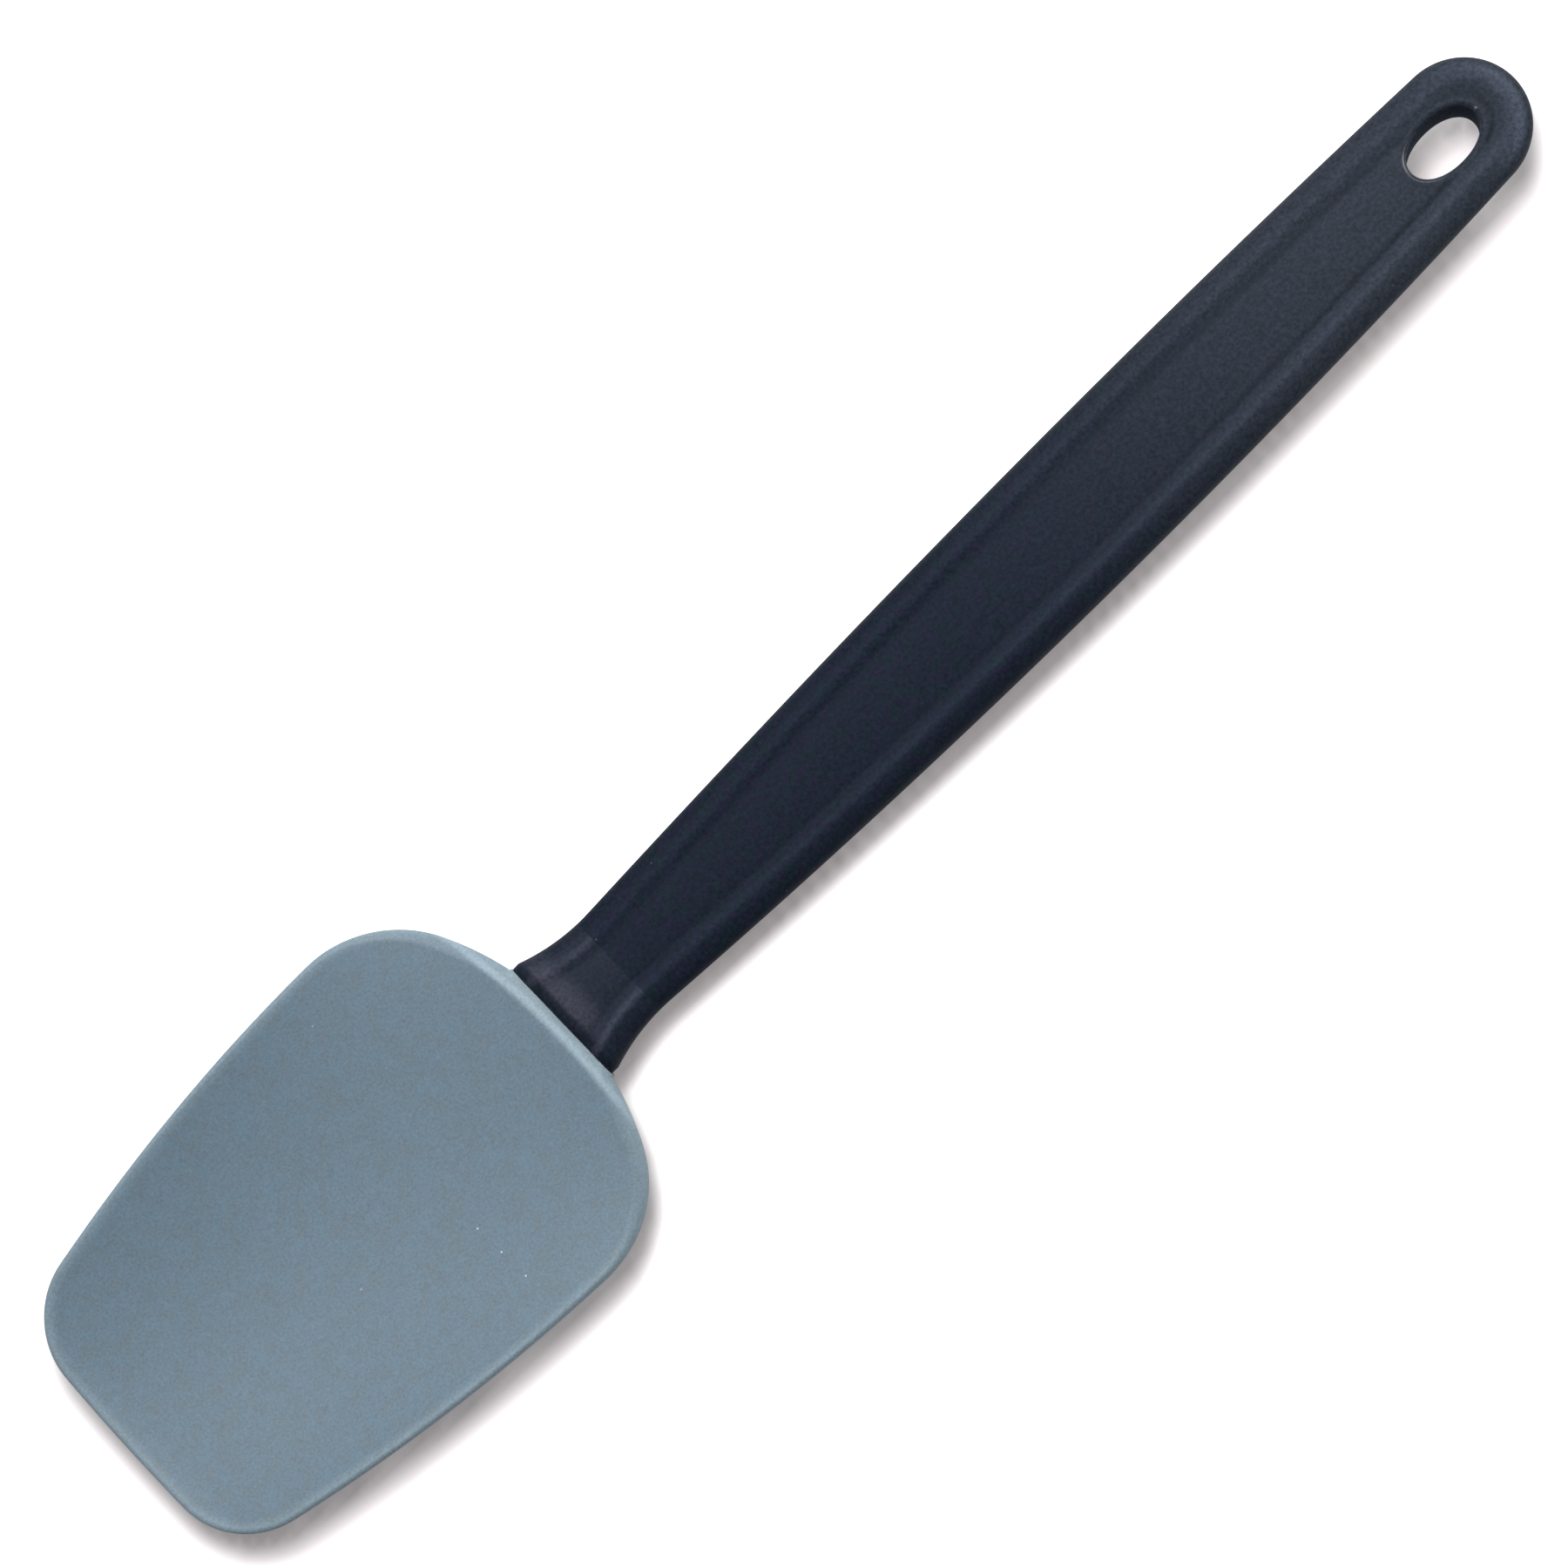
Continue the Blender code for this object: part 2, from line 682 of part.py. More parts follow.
def handle_face_offset(station, across):
    """Height of the handle's face over its middle, near the axis."""
    reach = handle_half_width(min(station, end_centre().x))
    off_axis = abs(across)
    if station > end_centre().x:
        off_axis = math.hypot(station - end_centre().x, across)
    return surface_offset(station, reach - off_axis, reach)


def slot_cutter():
    """The hang slot's space, which flares at both faces so that its edges come out rounded."""
    flare = [(SLOT_ROUNDING, 2 * SLOT_ROUNDING)]
    for step in range(EDGE_STEPS + 1):
        turn = math.pi / 2 * step / EDGE_STEPS
        flare.append((SLOT_ROUNDING * (1 - math.sin(turn)), -SLOT_ROUNDING * (1 - math.cos(turn))))
    rows = [(1, *level) for level in flare] + [(-1, *level) for level in flare[::-1]]
    builder = bmesh.new()
    loops = []
    for side, outset, above in rows:
        loop = []
        for step in range(SLOT_STEPS):
            station, across = slot_point(2 * math.pi * step / SLOT_STEPS, outset)
            height = handle_mid_height(station) + side * (handle_face_offset(station, across) + above)
            loop.append(builder.verts.new(world(station, across, height)))
        loops.append(loop)
    for one, other in zip(loops, loops[1:]):
        bridge(builder, one, other)
    builder.faces.new(loops[0])
    builder.faces.new(loops[-1])
    return add_object("slot_space", builder, cutter=True)


def main():
    for old in list(bpy.data.objects):
        bpy.data.objects.remove(old, do_unlink=True)

    core_space = core_body("core_space", CLEARANCE, cutter=True)
    table_space = table_cutter()

    core = core_body("core", 0)
    finish(core, material("core nylon", CORE_COLOUR, CORE_ROUGHNESS))

    head = add_object("silicone_head", skin_ribs([head_section(pair) for pair in head_outline()]))
    cut(head, core_space, "pocket for the core")
    cut(head, table_space, "resting flat")
    finish(head, material("silicone", SILICONE_COLOUR, SILICONE_ROUGHNESS))

    handle = add_object("handle", skin_ribs([handle_section(pair) for pair in handle_outline()]))
    cut(handle, core_space, "socket for the tang")
    cut(handle, slot_cutter(), "hang slot")
    cut(handle, table_space, "resting flats")
    finish(handle, material("handle nylon", HANDLE_COLOUR, HANDLE_ROUGHNESS))


main()
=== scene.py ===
"""The looks of a silicone spoon: its silicone head, hard handle and hidden core, on a pale table.

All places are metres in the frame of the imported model. The spoon lies on its back with its scoop up, its head
points to -X, and a length along it is given as a distance from the tip of the head, called the station.
"""

import logging
import math
from dataclasses import dataclass, field
from enum import Enum
from typing import Sequence, Union

import bmesh
import bpy
from mathutils import Matrix, Vector
from mathutils.kdtree import KDTree


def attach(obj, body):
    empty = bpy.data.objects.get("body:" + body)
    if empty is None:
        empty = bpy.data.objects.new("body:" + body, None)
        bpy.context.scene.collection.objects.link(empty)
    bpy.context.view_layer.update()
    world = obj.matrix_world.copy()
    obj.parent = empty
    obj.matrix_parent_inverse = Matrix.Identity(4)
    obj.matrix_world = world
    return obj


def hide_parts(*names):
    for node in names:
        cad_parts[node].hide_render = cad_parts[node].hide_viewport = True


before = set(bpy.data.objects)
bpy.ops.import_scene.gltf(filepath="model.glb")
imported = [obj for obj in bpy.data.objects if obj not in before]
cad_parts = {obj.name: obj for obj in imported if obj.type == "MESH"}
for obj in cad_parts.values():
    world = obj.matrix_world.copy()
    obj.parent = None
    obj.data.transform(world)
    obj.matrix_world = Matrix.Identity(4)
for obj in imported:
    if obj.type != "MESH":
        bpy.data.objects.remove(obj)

MM = 0.001
WELD = 0.001 * MM  # points nearer to each other than this become one
LOG = logging.getLogger("spoon")

Pair = tuple[float, float]
Triple = tuple[float, float, float]
Colour = Triple
Knot = Triple


# Small sums that the shapes share

def clamp(value: float, low: float = 0.0, high: float = 1.0) -> float:
    """The value kept between two limits."""
    return max(low, min(high, value))


def smooth(value: float) -> float:
    """0 to 1 with level ends."""
    value = clamp(value)
    return value * value * (3 - 2 * value)


def curve_height(at: float, start: Knot, end: Knot) -> float:
    """Height at a station on a cubic curve.

    Args:
        at: The station.
        start: Station, height and slope where the curve starts.
        end: Station, height and slope where it ends.

    Returns:
        The height in metres.
    """
    span = end[0] - start[0]
    t = (at - start[0]) / span
    return (
        (2 * t**3 - 3 * t**2 + 1) * start[1]
        + (t**3 - 2 * t**2 + t) * span * start[2]
        + (3 * t**2 - 2 * t**3) * end[1]
        + (t**3 - t**2) * span * end[2]
    )


def touch_point(large: Vector, small: Vector, radius: float) -> Vector:
    """Where a small circle touches the large one round it.

    Args:
        large: Centre of the large circle.
        small: Centre of the small circle.
        radius: Radius of the large circle.

    Returns:
        The point where they touch.
    """
    return large + (small - large).normalized() * radius


class Side(Enum):
    """The two sides of the spoon, seen from the end of its handle."""

    LEFT = -1
    RIGHT = 1


class Face(Enum):
    """The face that looks up out of the scoop, and the one that lies on the table."""

    UPPER = 1
    LOWER = -1


# Shader graphs

Feed = Union["Value", bpy.types.NodeSocket, bpy.types.Material, float, Sequence[float]]
Feeds = dict[str | int, Feed]
Settings = dict[str, object]


@dataclass(frozen=True)
class Noise:
    """Smooth noise on a surface.

    Attributes:
        scale: Waves to the metre.
        detail: How many finer layers it has.
        roughness: How strong the finer layers are.
        stretch: How much denser it is along each axis.
        turn: A turn of the whole pattern about Z after that, in radians.
    """

    scale: float
    detail: float = 2.0
    roughness: float = 0.5
    stretch: Triple | None = None
    turn: float = 0.0


@dataclass(frozen=True)
class Spots:
    """Small round spots on some cells of a scatter.

    Attributes:
        scale: Cells to the metre.
        reach: The distances from a cell's middle, in cells, at which a spot starts to fade and is gone.
        bare: The share of the cells that have none.
        axis: Which of a cell's random numbers chooses.
        strength: How much a spot covers what lies below it.
        step: Width of the soft step in that number.
    """

    scale: float
    reach: Pair
    bare: float
    axis: int
    strength: float
    step: float = 0.005


class Graph:
    """The nodes of one material, of the world or of a Geometry Nodes tree."""

    def __init__(self, tree: bpy.types.NodeTree) -> None:
        """Takes an empty or a fresh node tree."""
        self.tree = tree

    def node(self, kind: str, settings: Settings | None = None, feeds: Feeds | None = None) -> bpy.types.Node:
        """Adds a node.

        Args:
            kind: The node's Blender type.
            settings: Its own settings, set before its sockets.
            feeds: Values or links for its sockets, by name or number.

        Returns:
            The new node.
        """
        made = self.tree.nodes.new(kind)
        for name, value in (settings or {}).items():
            setattr(made, name, value)
        self.dress(made, feeds or {})
        return made

    def dress(self, node: bpy.types.Node, feeds: Feeds) -> None:
        """Links or sets a node's sockets.

        Args:
            node: The node.
            feeds: Values or links for its sockets, by name or number.
        """
        for name, value in feeds.items():
            self.feed(node.inputs[name], value)

    def feed(self, socket: bpy.types.NodeSocket, value: Feed) -> None:
        """Links a socket to another, or sets its value.

        Args:
            socket: The input socket.
            value: A wrapped or plain output socket, a number, a colour or vector, or a material.
        """
        if isinstance(value, Value):
            self.tree.links.new(value.socket, socket)
        elif isinstance(value, bpy.types.NodeSocket):
            self.tree.links.new(value, socket)
        elif isinstance(value, (int, float, bpy.types.Material)):
            socket.default_value = value
        else:
            whole = tuple(value)
            socket.default_value = (*whole, 1) if len(socket.default_value) == len(whole) + 1 else whole

    def value(
        self, kind: str, settings: Settings | None = None, feeds: Feeds | None = None, out: str | int = 0
    ) -> "Value":
        """Adds a node and wraps one of its outputs.

        Args:
            kind: The node's Blender type.
            settings: Its own settings.
            feeds: Values or links for its sockets.
            out: Name or number of the output.

        Returns:
            The wrapped output.
        """
        return Value(self, self.node(kind, settings, feeds).outputs[out])

    def place(self) -> "Value":
        """The point in the model's own frame."""
        return self.value("ShaderNodeTexCoord", out="Object")

    def attribute(self, name: str) -> "Value":
        """A number kept on the mesh under that name."""
        return self.value("ShaderNodeAttribute", {"attribute_name": name}, out="Fac")

    def camera_ray(self) -> "Value":
        """1 in what the camera sees itself, and 0 in the light that goes to other things."""
        return self.value("ShaderNodeLightPath", out="Is Camera Ray")

    def noise(self, kind: Noise) -> "Value":
        """Smooth noise from 0 to 1.

        Args:
            kind: How fine, rough and stretched it is.

        Returns:
            The noise.
        """
        at = self.place()
        if kind.stretch:
            turned = {"Vector": at, "Rotation": (0.0, 0.0, kind.turn), "Scale": kind.stretch}
            at = self.value("ShaderNodeMapping", {"vector_type": "POINT"}, turned)
        feeds = {"Vector": at, "Scale": kind.scale, "Detail": kind.detail, "Roughness": kind.roughness}
        return self.value("ShaderNodeTexNoise", {"noise_dimensions": "3D"}, feeds, "Fac")

    def cells(self, scale: float, out: str = "Distance") -> "Value":
        """Distance to the nearest of scattered points, in cells, or the colour of that cell."""
        settings = {"voronoi_dimensions": "3D", "feature": "F1"}
        return self.value("ShaderNodeTexVoronoi", settings, {"Vector": self.place(), "Scale": scale}, out)

    def spots(self, kind: Spots) -> "Value":
        """1 in a spot and 0 elsewhere."""
        chosen = self.cells(kind.scale, "Color").part(kind.axis).rise(kind.bare, kind.bare + kind.step)
        return (1.0 - self.cells(kind.scale).rise(*kind.reach)) * chosen

    def near(self, centre: Pair, reach: Pair) -> "Value":
        """A round mark on the model, seen from above.

        Args:
            centre: The mark's X and Y.
            reach: The distances from it at which the mark starts to fade and is gone.

        Returns:
            1 in the mark and 0 outside.
        """
        maths = "ShaderNodeVectorMath"
        flat = self.value(maths, {"operation": "MULTIPLY"}, {0: self.place(), 1: (1.0, 1.0, 0.0)})
        away = self.value(maths, {"operation": "DISTANCE"}, {0: flat, 1: (*centre, 0.0)}, "Value")
        return 1.0 - away.rise(*reach)

    def mix(self, share: Feed, first: Feed, second: Feed) -> "Value":
        """The first colour at a share of 0 and the second at 1."""
        settings = {"data_type": "RGBA", "blend_type": "MIX"}
        return self.value("ShaderNodeMix", settings, {"Factor": share, 6: first, 7: second}, 2)

    def layered(self, colour: Feed, layers: Sequence[tuple[Feed, Feed]]) -> Feed:
        """A colour with others laid over it.

        Args:
            colour: The colour at the bottom.
            layers: The share from 0 to 1 and the colour of each further layer, from the lowest up.

        Returns:
            The colour on top.
        """
        for share, over in layers:
            colour = self.mix(share, colour, over)
        return colour

    def tint(self, colour: Feed, gain: Feed) -> "Value":
        """A colour made brighter or darker.

        Args:
            colour: The colour.
            gain: What it is multiplied by.

        Returns:
            The new colour.
        """
        grey = self.value("ShaderNodeCombineXYZ", None, {0: gain, 1: gain, 2: gain})
        settings = {"data_type": "RGBA", "blend_type": "MULTIPLY"}
        return self.value("ShaderNodeMix", settings, {"Factor": 1.0, 6: colour, 7: grey}, 2)

    def bump(self, height: Feed, distance: float, under: Feed | None = None) -> "Value":
        """A normal that follows a height map.

        Args:
            height: Height from 0 to 1.
            distance: What a height of 1 stands for, in metres.
            under: The normal of a coarser bump below it.

        Returns:
            The normal.
        """
        feeds = {"Height": height, "Distance": distance, "Strength": 1.0}
        if under is not None:
            feeds["Normal"] = under
        return self.value("ShaderNodeBump", None, feeds)

    def moulded(self, grain: Feed, depth: float, flash_turn: float, flash_height: float) -> "Value":
        """The normal of a moulded skin: its grain over the fine ridge that the mould's joint leaves.

        Args:
            grain: Height of the grain from 0 to 1.
            depth: The grain's depth in metres.
            flash_turn: How far the ridge reaches round the edge, as a share of the turn to the top.
            flash_height: The ridge's height in metres.

        Returns:
            The normal.
        """
        ridge = 1.0 - abs(self.attribute("rim_turn")).rise(0.0, flash_turn)
        return self.bump(grain, depth, self.bump(ridge, flash_height))


class Value:
    """A number from a node, which Python's operators turn into Math nodes."""

    def __init__(self, graph: Graph, socket: bpy.types.NodeSocket) -> None:
        """Wraps an output socket of a graph."""
        self.graph = graph
        self.socket = socket

    def math(self, operation: str, *feeds: Feed) -> "Value":
        """The result of a Math node, from what goes into it in order."""
        return self.graph.value("ShaderNodeMath", {"operation": operation}, dict(enumerate(feeds)))

    def __add__(self, other: Feed) -> "Value":
        """Sum."""
        return self.math("ADD", self, other)

    __radd__ = __add__

    def __sub__(self, other: Feed) -> "Value":
        """Difference."""
        return self.math("SUBTRACT", self, other)

    def __rsub__(self, other: Feed) -> "Value":
        """Difference from a plain number."""
        return self.math("SUBTRACT", other, self)

    def __mul__(self, other: Feed) -> "Value":
        """Product."""
        return self.math("MULTIPLY", self, other)

    __rmul__ = __mul__

    def __truediv__(self, other: Feed) -> "Value":
        """Quotient."""
        return self.math("DIVIDE", self, other)

    def __rtruediv__(self, other: Feed) -> "Value":
        """Plain number over this one."""
        return self.math("DIVIDE", other, self)

    def __pow__(self, other: Feed) -> "Value":
        """Power."""
        return self.math("POWER", self, other)

    def __abs__(self) -> "Value":
        """The number without its sign."""
        return self.math("ABSOLUTE", self)

    def most(self, other: Feed) -> "Value":
        """The larger of two numbers."""
        return self.math("MAXIMUM", self, other)

    def swing(self, size: float) -> "Value":
        """Noise from 0 to 1 turned into a swing of that size about zero."""
        return (self - 0.5) * size

    def rise(self, low: float, high: float) -> "Value":
        """A smooth step.

        Args:
            low: The number up to which it is 0.
            high: The number from which it is 1.

        Returns:
            The step.
        """
        settings = {"interpolation_type": "SMOOTHSTEP", "clamp": True}
        feeds = {"Value": self, "From Min": low, "From Max": high, "To Min": 0.0, "To Max": 1.0}
        return self.graph.value("ShaderNodeMapRange", settings, feeds)

    def part(self, axis: int) -> "Value":
        """One number of a vector: 0 for X, 1 for Y and 2 for Z."""
        return self.graph.value("ShaderNodeSeparateXYZ", None, {0: self}, axis)


# Finishes

def fresh_material(name: str) -> tuple[bpy.types.Material, Graph, bpy.types.Node]:
    """A material with only its Principled shader.

    Args:
        name: The material's name.

    Returns:
        The material, its graph and the shader.
    """
    made = bpy.data.materials.new(name)
    made.use_nodes = True
    return made, Graph(made.node_tree), made.node_tree.nodes["Principled BSDF"]


@dataclass(frozen=True)
class SiliconeFinish:
    """Matt blue-grey silicone: cloudy, with a fine skin, dust, rubbed places and a few scuffs, and painted
    light.

    Its thin rim is painted paler, standing in for light through and off the thin edge. A painted highlight
    lies along the crest at the seam. It starts and falls off in bands of X, which bend with a radius about a
    line slightly off the axis.
    """

    # Colours, and how much each noise changes the tone
    colour: Colour = (0.147, 0.206, 0.250)
    cool: Colour = (0.135, 0.209, 0.274)
    rim_light_and_rub_colour: Colour = (0.250, 0.335, 0.390)
    dust_colour: Colour = (0.60, 0.63, 0.65)
    speck_colour: Colour = (0.045, 0.055, 0.065)
    hue: Noise = Noise(420.0, 3.0, 0.7)
    hue_band: Pair = (0.3, 0.7)
    cloud: Noise = Noise(45.0, 4.0, 0.6)
    cloud_tone: float = 0.06
    blotch: Noise = Noise(420.0, 3.0, 0.6)
    blotch_tone: float = 0.16
    grain: Noise = Noise(2500.0, 3.0, 0.7)
    grain_tone: float = 0.85
    # The painted light on the thin rim, and the painted highlight on the crest at the seam
    rim_band: Pair = (0.1 * MM, 2.4 * MM)
    rim_light_share: float = 0.75
    crest_highlight_band: Pair = (-55.0 * MM, -53.95 * MM)
    fall_band: Pair = (-53.75 * MM, -53.0 * MM)
    crest_radius: float = 113 * MM
    crest_off: float = 2.5 * MM
    crest_light: float = 0.22
    # Rubbed places, dust, specks, the mould's vent marks and a scuff
    rub: Noise = Noise(180.0, 4.0, 0.7, (0.5, 4.0, 1.0), -0.5)
    rub_band: Pair = (0.68, 0.80)
    rub_share: float = 0.18
    dust: Spots = Spots(190.0, (0.021, 0.035), 0.955, 0, 0.75)
    specks: Spots = Spots(120.0, (0.0132, 0.022), 0.975, 1, 0.7)
    vent_marks: tuple[Pair, ...] = (
        (-81.9 * MM, -13.1 * MM),
        (-81.6 * MM, -18.1 * MM),
        (-81.3 * MM, -23.2 * MM),
    )
    vent_reach: Pair = (0.08 * MM, 0.21 * MM)
    scuff_at: Pair = (-104.0 * MM, 23.6 * MM)
    scuff_reach: Pair = (0.5 * MM, 3.0 * MM)
    scuff_band: Pair = (0.45, 0.62)
    scuff_share: float = 0.16
    # Roughness, relief and sheen
    roughness: float = 0.56
    cloud_roughness: float = 0.10
    rub_roughness: float = 0.06
    dust_roughness: float = 0.2
    skin_depth: float = 0.010 * MM
    flash_turn: float = 0.10
    flash_height: float = 0.03 * MM
    specular: float = 0.42
    sheen: float = 0.10
    sheen_roughness: float = 0.4

    def material(self) -> bpy.types.Material:
        """Builds the silicone's material.

        Returns:
            The material.
        """
        made, graph, shader = fresh_material("silicone_blue_grey")
        place = graph.place()
        cloud = graph.noise(self.cloud)
        blotch = graph.noise(self.blotch)
        grain = graph.noise(self.grain)
        rub = graph.noise(self.rub).rise(*self.rub_band)
        dust = graph.spots(self.dust)
        scuff = graph.near(self.scuff_at, self.scuff_reach) * blotch.rise(*self.scuff_band)
        # Painted light: the colour is made paler near the outline, in place of light through and off the thin
        # edge
        thin = 1.0 - graph.attribute("rim_inset").rise(*self.rim_band)
        # Painted highlight along the crest at the seam: a paler colour band and a lift of the tone
        along = place.part(0) + (place.part(1) + self.crest_off) ** 2.0 / (2 * self.crest_radius)
        crest = along.rise(*self.crest_highlight_band)
        lit = 1.0 + crest * (1.0 - along.rise(*self.fall_band)) * self.crest_light
        gain = 1.0 + cloud.swing(self.cloud_tone) + blotch.swing(self.blotch_tone)
        gain = gain + grain.swing(self.grain_tone)
        # The rim's colour carries the painted rim light and crest highlight, and also the real rubbed places
        colour = graph.layered(self.colour, [
            (graph.noise(self.hue).rise(*self.hue_band), self.cool),
            (crest.most(thin * self.rim_light_share), self.rim_light_and_rub_colour),
        ])
        vents = [(graph.near(centre, self.vent_reach), self.dust_colour) for centre in self.vent_marks]
        colour = graph.layered(graph.tint(colour, gain * lit), [
            (rub * self.rub_share, self.rim_light_and_rub_colour),
            (dust * self.dust.strength, self.dust_colour),
            *vents,
            (scuff * self.scuff_share, self.speck_colour),
            (graph.spots(self.specks) * self.specks.strength, self.speck_colour),
        ])
        roughness = self.roughness + cloud.swing(self.cloud_roughness)
        graph.dress(shader, {
            "Base Color": colour,
            "Roughness": roughness + rub * self.rub_roughness + dust * self.dust_roughness,
            "Normal": graph.moulded(grain, self.skin_depth, self.flash_turn, self.flash_height),
            "Specular IOR Level": self.specular,
            "Sheen Weight": self.sheen,
            "Sheen Roughness": self.sheen_roughness,
        })
        return made


@dataclass(frozen=True)
class HandleFinish:
    """Hard matt blue-black moulding: spark-eroded grain, a lighter collar, a few pale specks, and painted
    light.

    Painted sheen lies towards the handle's end and on the collar, painted highlights on the rims' crests and
    round the end, painted shade in the grooves, and painted light on the hang slot's walls.

    A mark that follows the outline is given by how far in from it the mark starts, peaks and ends.
    """

    # Colours, and how much each noise changes the tone
    colour: Colour = (0.0132, 0.0134, 0.0300)
    cool: Colour = (0.0086, 0.0172, 0.0240)
    sheen_and_collar_mark_colour: Colour = (0.0290, 0.0350, 0.0480)
    collar_sheen_colour: Colour = (0.047, 0.048, 0.069)
    speck_colour: Colour = (0.20, 0.21, 0.23)
    shine_colour: Colour = (0.66, 0.79, 1.0)
    hue: Noise = Noise(620.0, 3.0, 0.7)
    hue_band: Pair = (0.3, 0.7)
    cloud: Noise = Noise(38.0, 4.0, 0.6)
    cloud_tone: float = 0.16
    flow: Noise = Noise(160.0, 3.0, 0.5, (0.25, 2.0, 1.0))
    flow_tone: float = 0.14
    fine: Noise = Noise(1700.0, 3.0, 0.7)
    fine_tone: float = 1.9
    # Painted sheen towards the handle's end and on the collar's front and middle, and the collar's lighter
    # moulded mark
    end_sheen_from: Pair = (20 * MM, 118 * MM)
    collar_edge: Pair = (-41.1 * MM, -40.9 * MM)
    collar_share: float = 0.12
    middle_sheen_share: float = 0.15
    collar_sheen_band: Pair = (-49.5 * MM, -46.0 * MM)
    collar_front: Pair = (-51.3 * MM, -50.3 * MM)
    collar_sides: Pair = (3.5 * MM, 9.5 * MM)
    collar_lean: float = 2.5 * MM
    collar_sheen_share: float = 0.85
    collar_crest_highlight_share: float = 0.45
    # Painted highlights on the rims' crests and round the end, and painted shade in the grooves
    crest_inset: Triple = (2.5 * MM, 3.6 * MM, 4.7 * MM)
    crest_highlight_gain: float = 0.32
    groove_inset: Triple = (4.9 * MM, 5.7 * MM, 6.7 * MM)
    groove_shade: Pair = (0.08, 0.28)
    end_inset: Triple = (0.5 * MM, 1.7 * MM, 3.8 * MM)
    end_from: Pair = (126 * MM, 135 * MM)
    end_side: Pair = (1.5 * MM, 9.0 * MM)
    end_side_loss: float = 0.75
    end_highlight_gain: float = 1.2
    # Specks, the mark of the mould's gate, and the hang slot's edge and walls; the walls carry painted light
    specks: Spots = Spots(420.0, (0.03, 0.07), 0.955, 1, 0.45)
    gate_at: Pair = (132.7 * MM, 0.1 * MM)
    gate_reach: Pair = (0.10 * MM, 0.34 * MM)
    gate_share: float = 0.5
    slot_at: Pair = (126.1 * MM, 0.0)
    slot_reach: Pair = (7.2 * MM, 4.9 * MM)
    slot_fade: Pair = (0.97, 1.03)
    edge_lean: Pair = (0.03, 0.22)
    edge_up: Pair = (0.15, 0.4)
    wall_up: Pair = (0.3, 0.8)
    wall_light_gain: float = 0.9
    wall_roughness: float = 1.0
    # Roughness, relief and shine
    roughness: float = 0.50
    cloud_roughness: float = 0.08
    fine_roughness: float = 0.12
    collar_roughness: float = -0.05
    speck_roughness: float = 0.2
    pit_scale: float = 1700.0
    pit_share: float = 0.4
    grain_depth: float = 0.016 * MM
    flash_turn: float = 0.06
    flash_height: float = 0.03 * MM
    shine: float = 0.06
    coat: float = 0.7
    coat_roughness: float = 0.30
    coat_ior: float = 1.9

    @staticmethod
    def ring(graph: Graph, insets: Triple) -> Value:
        """A band along the outline, from three distances in from it: where it starts, peaks and ends."""
        inset = graph.attribute("rim_inset")
        return inset.rise(*insets[:2]) * (1.0 - inset.rise(*insets[1:]))

    def slot_marks(self, graph: Graph, along: Value, across: Value) -> tuple[Value, Value]:
        """The hang slot's glossier edge and its rougher walls, which also carry painted light.

        Args:
            graph: The material's graph.
            along: The point's X.
            across: Its Y.

        Returns:
            1 on its rounded edge where that looks up and towards the handle's end, and 1 on its walls.
        """
        off_along = (along - self.slot_at[0]) / self.slot_reach[0]
        off_across = (across - self.slot_at[1]) / self.slot_reach[1]
        inside = 1.0 - (off_along**2.0 + off_across**2.0).rise(*self.slot_fade)
        normal = graph.value("ShaderNodeNewGeometry", out="Normal")
        up = normal.part(2)
        edge = inside * normal.part(0).rise(*self.edge_lean) * up.rise(*self.edge_up)
        return edge, inside * (1.0 - up.rise(*self.wall_up))

    def material(self) -> bpy.types.Material:
        """Builds the handle's material.

        Returns:
            The material.
        """
        made, graph, shader = fresh_material("handle_blue_black")
        place = graph.place()
        along, across = place.part(0), place.part(1)
        cloud = graph.noise(self.cloud)
        fine = graph.noise(self.fine)
        specks = graph.spots(self.specks)
        edge, wall = self.slot_marks(graph, along, across)
        # Painted sheen: the colour grows lighter towards the handle's end, in place of the lamps' reflection
        # there
        far = along.rise(*self.end_sheen_from)
        collar = 1.0 - along.rise(*self.collar_edge)
        middle = 1.0 - abs(across - self.collar_lean).rise(*self.collar_sides)
        # Painted sheen on the collar's front, strongest in its middle
        collar_front_sheen = (1.0 - along.rise(*self.collar_sheen_band)) * along.rise(*self.collar_front) * middle
        # Painted highlights on the rims' crests, on the collar too, and painted shade in the grooves
        crest = self.ring(graph, self.crest_inset)
        pale = (collar_front_sheen * self.collar_sheen_share).most(crest * collar * self.collar_crest_highlight_share)
        groove = self.ring(graph, self.groove_inset) * (self.groove_shade[0] + far * self.groove_shade[1])
        # Painted highlight on the rim round the handle's end, fading on one side
        end_highlight = along.rise(*self.end_from) * (1.0 - across.rise(*self.end_side) * self.end_side_loss)
        end_highlight = self.ring(graph, self.end_inset) * end_highlight
        gain = 1.0 + cloud.swing(self.cloud_tone) + graph.noise(self.flow).swing(self.flow_tone)
        gain = gain + fine.swing(self.fine_tone)
        gain = gain * (1.0 + crest * self.crest_highlight_gain) * (1.0 + end_highlight * self.end_highlight_gain) * (1.0 - groove)
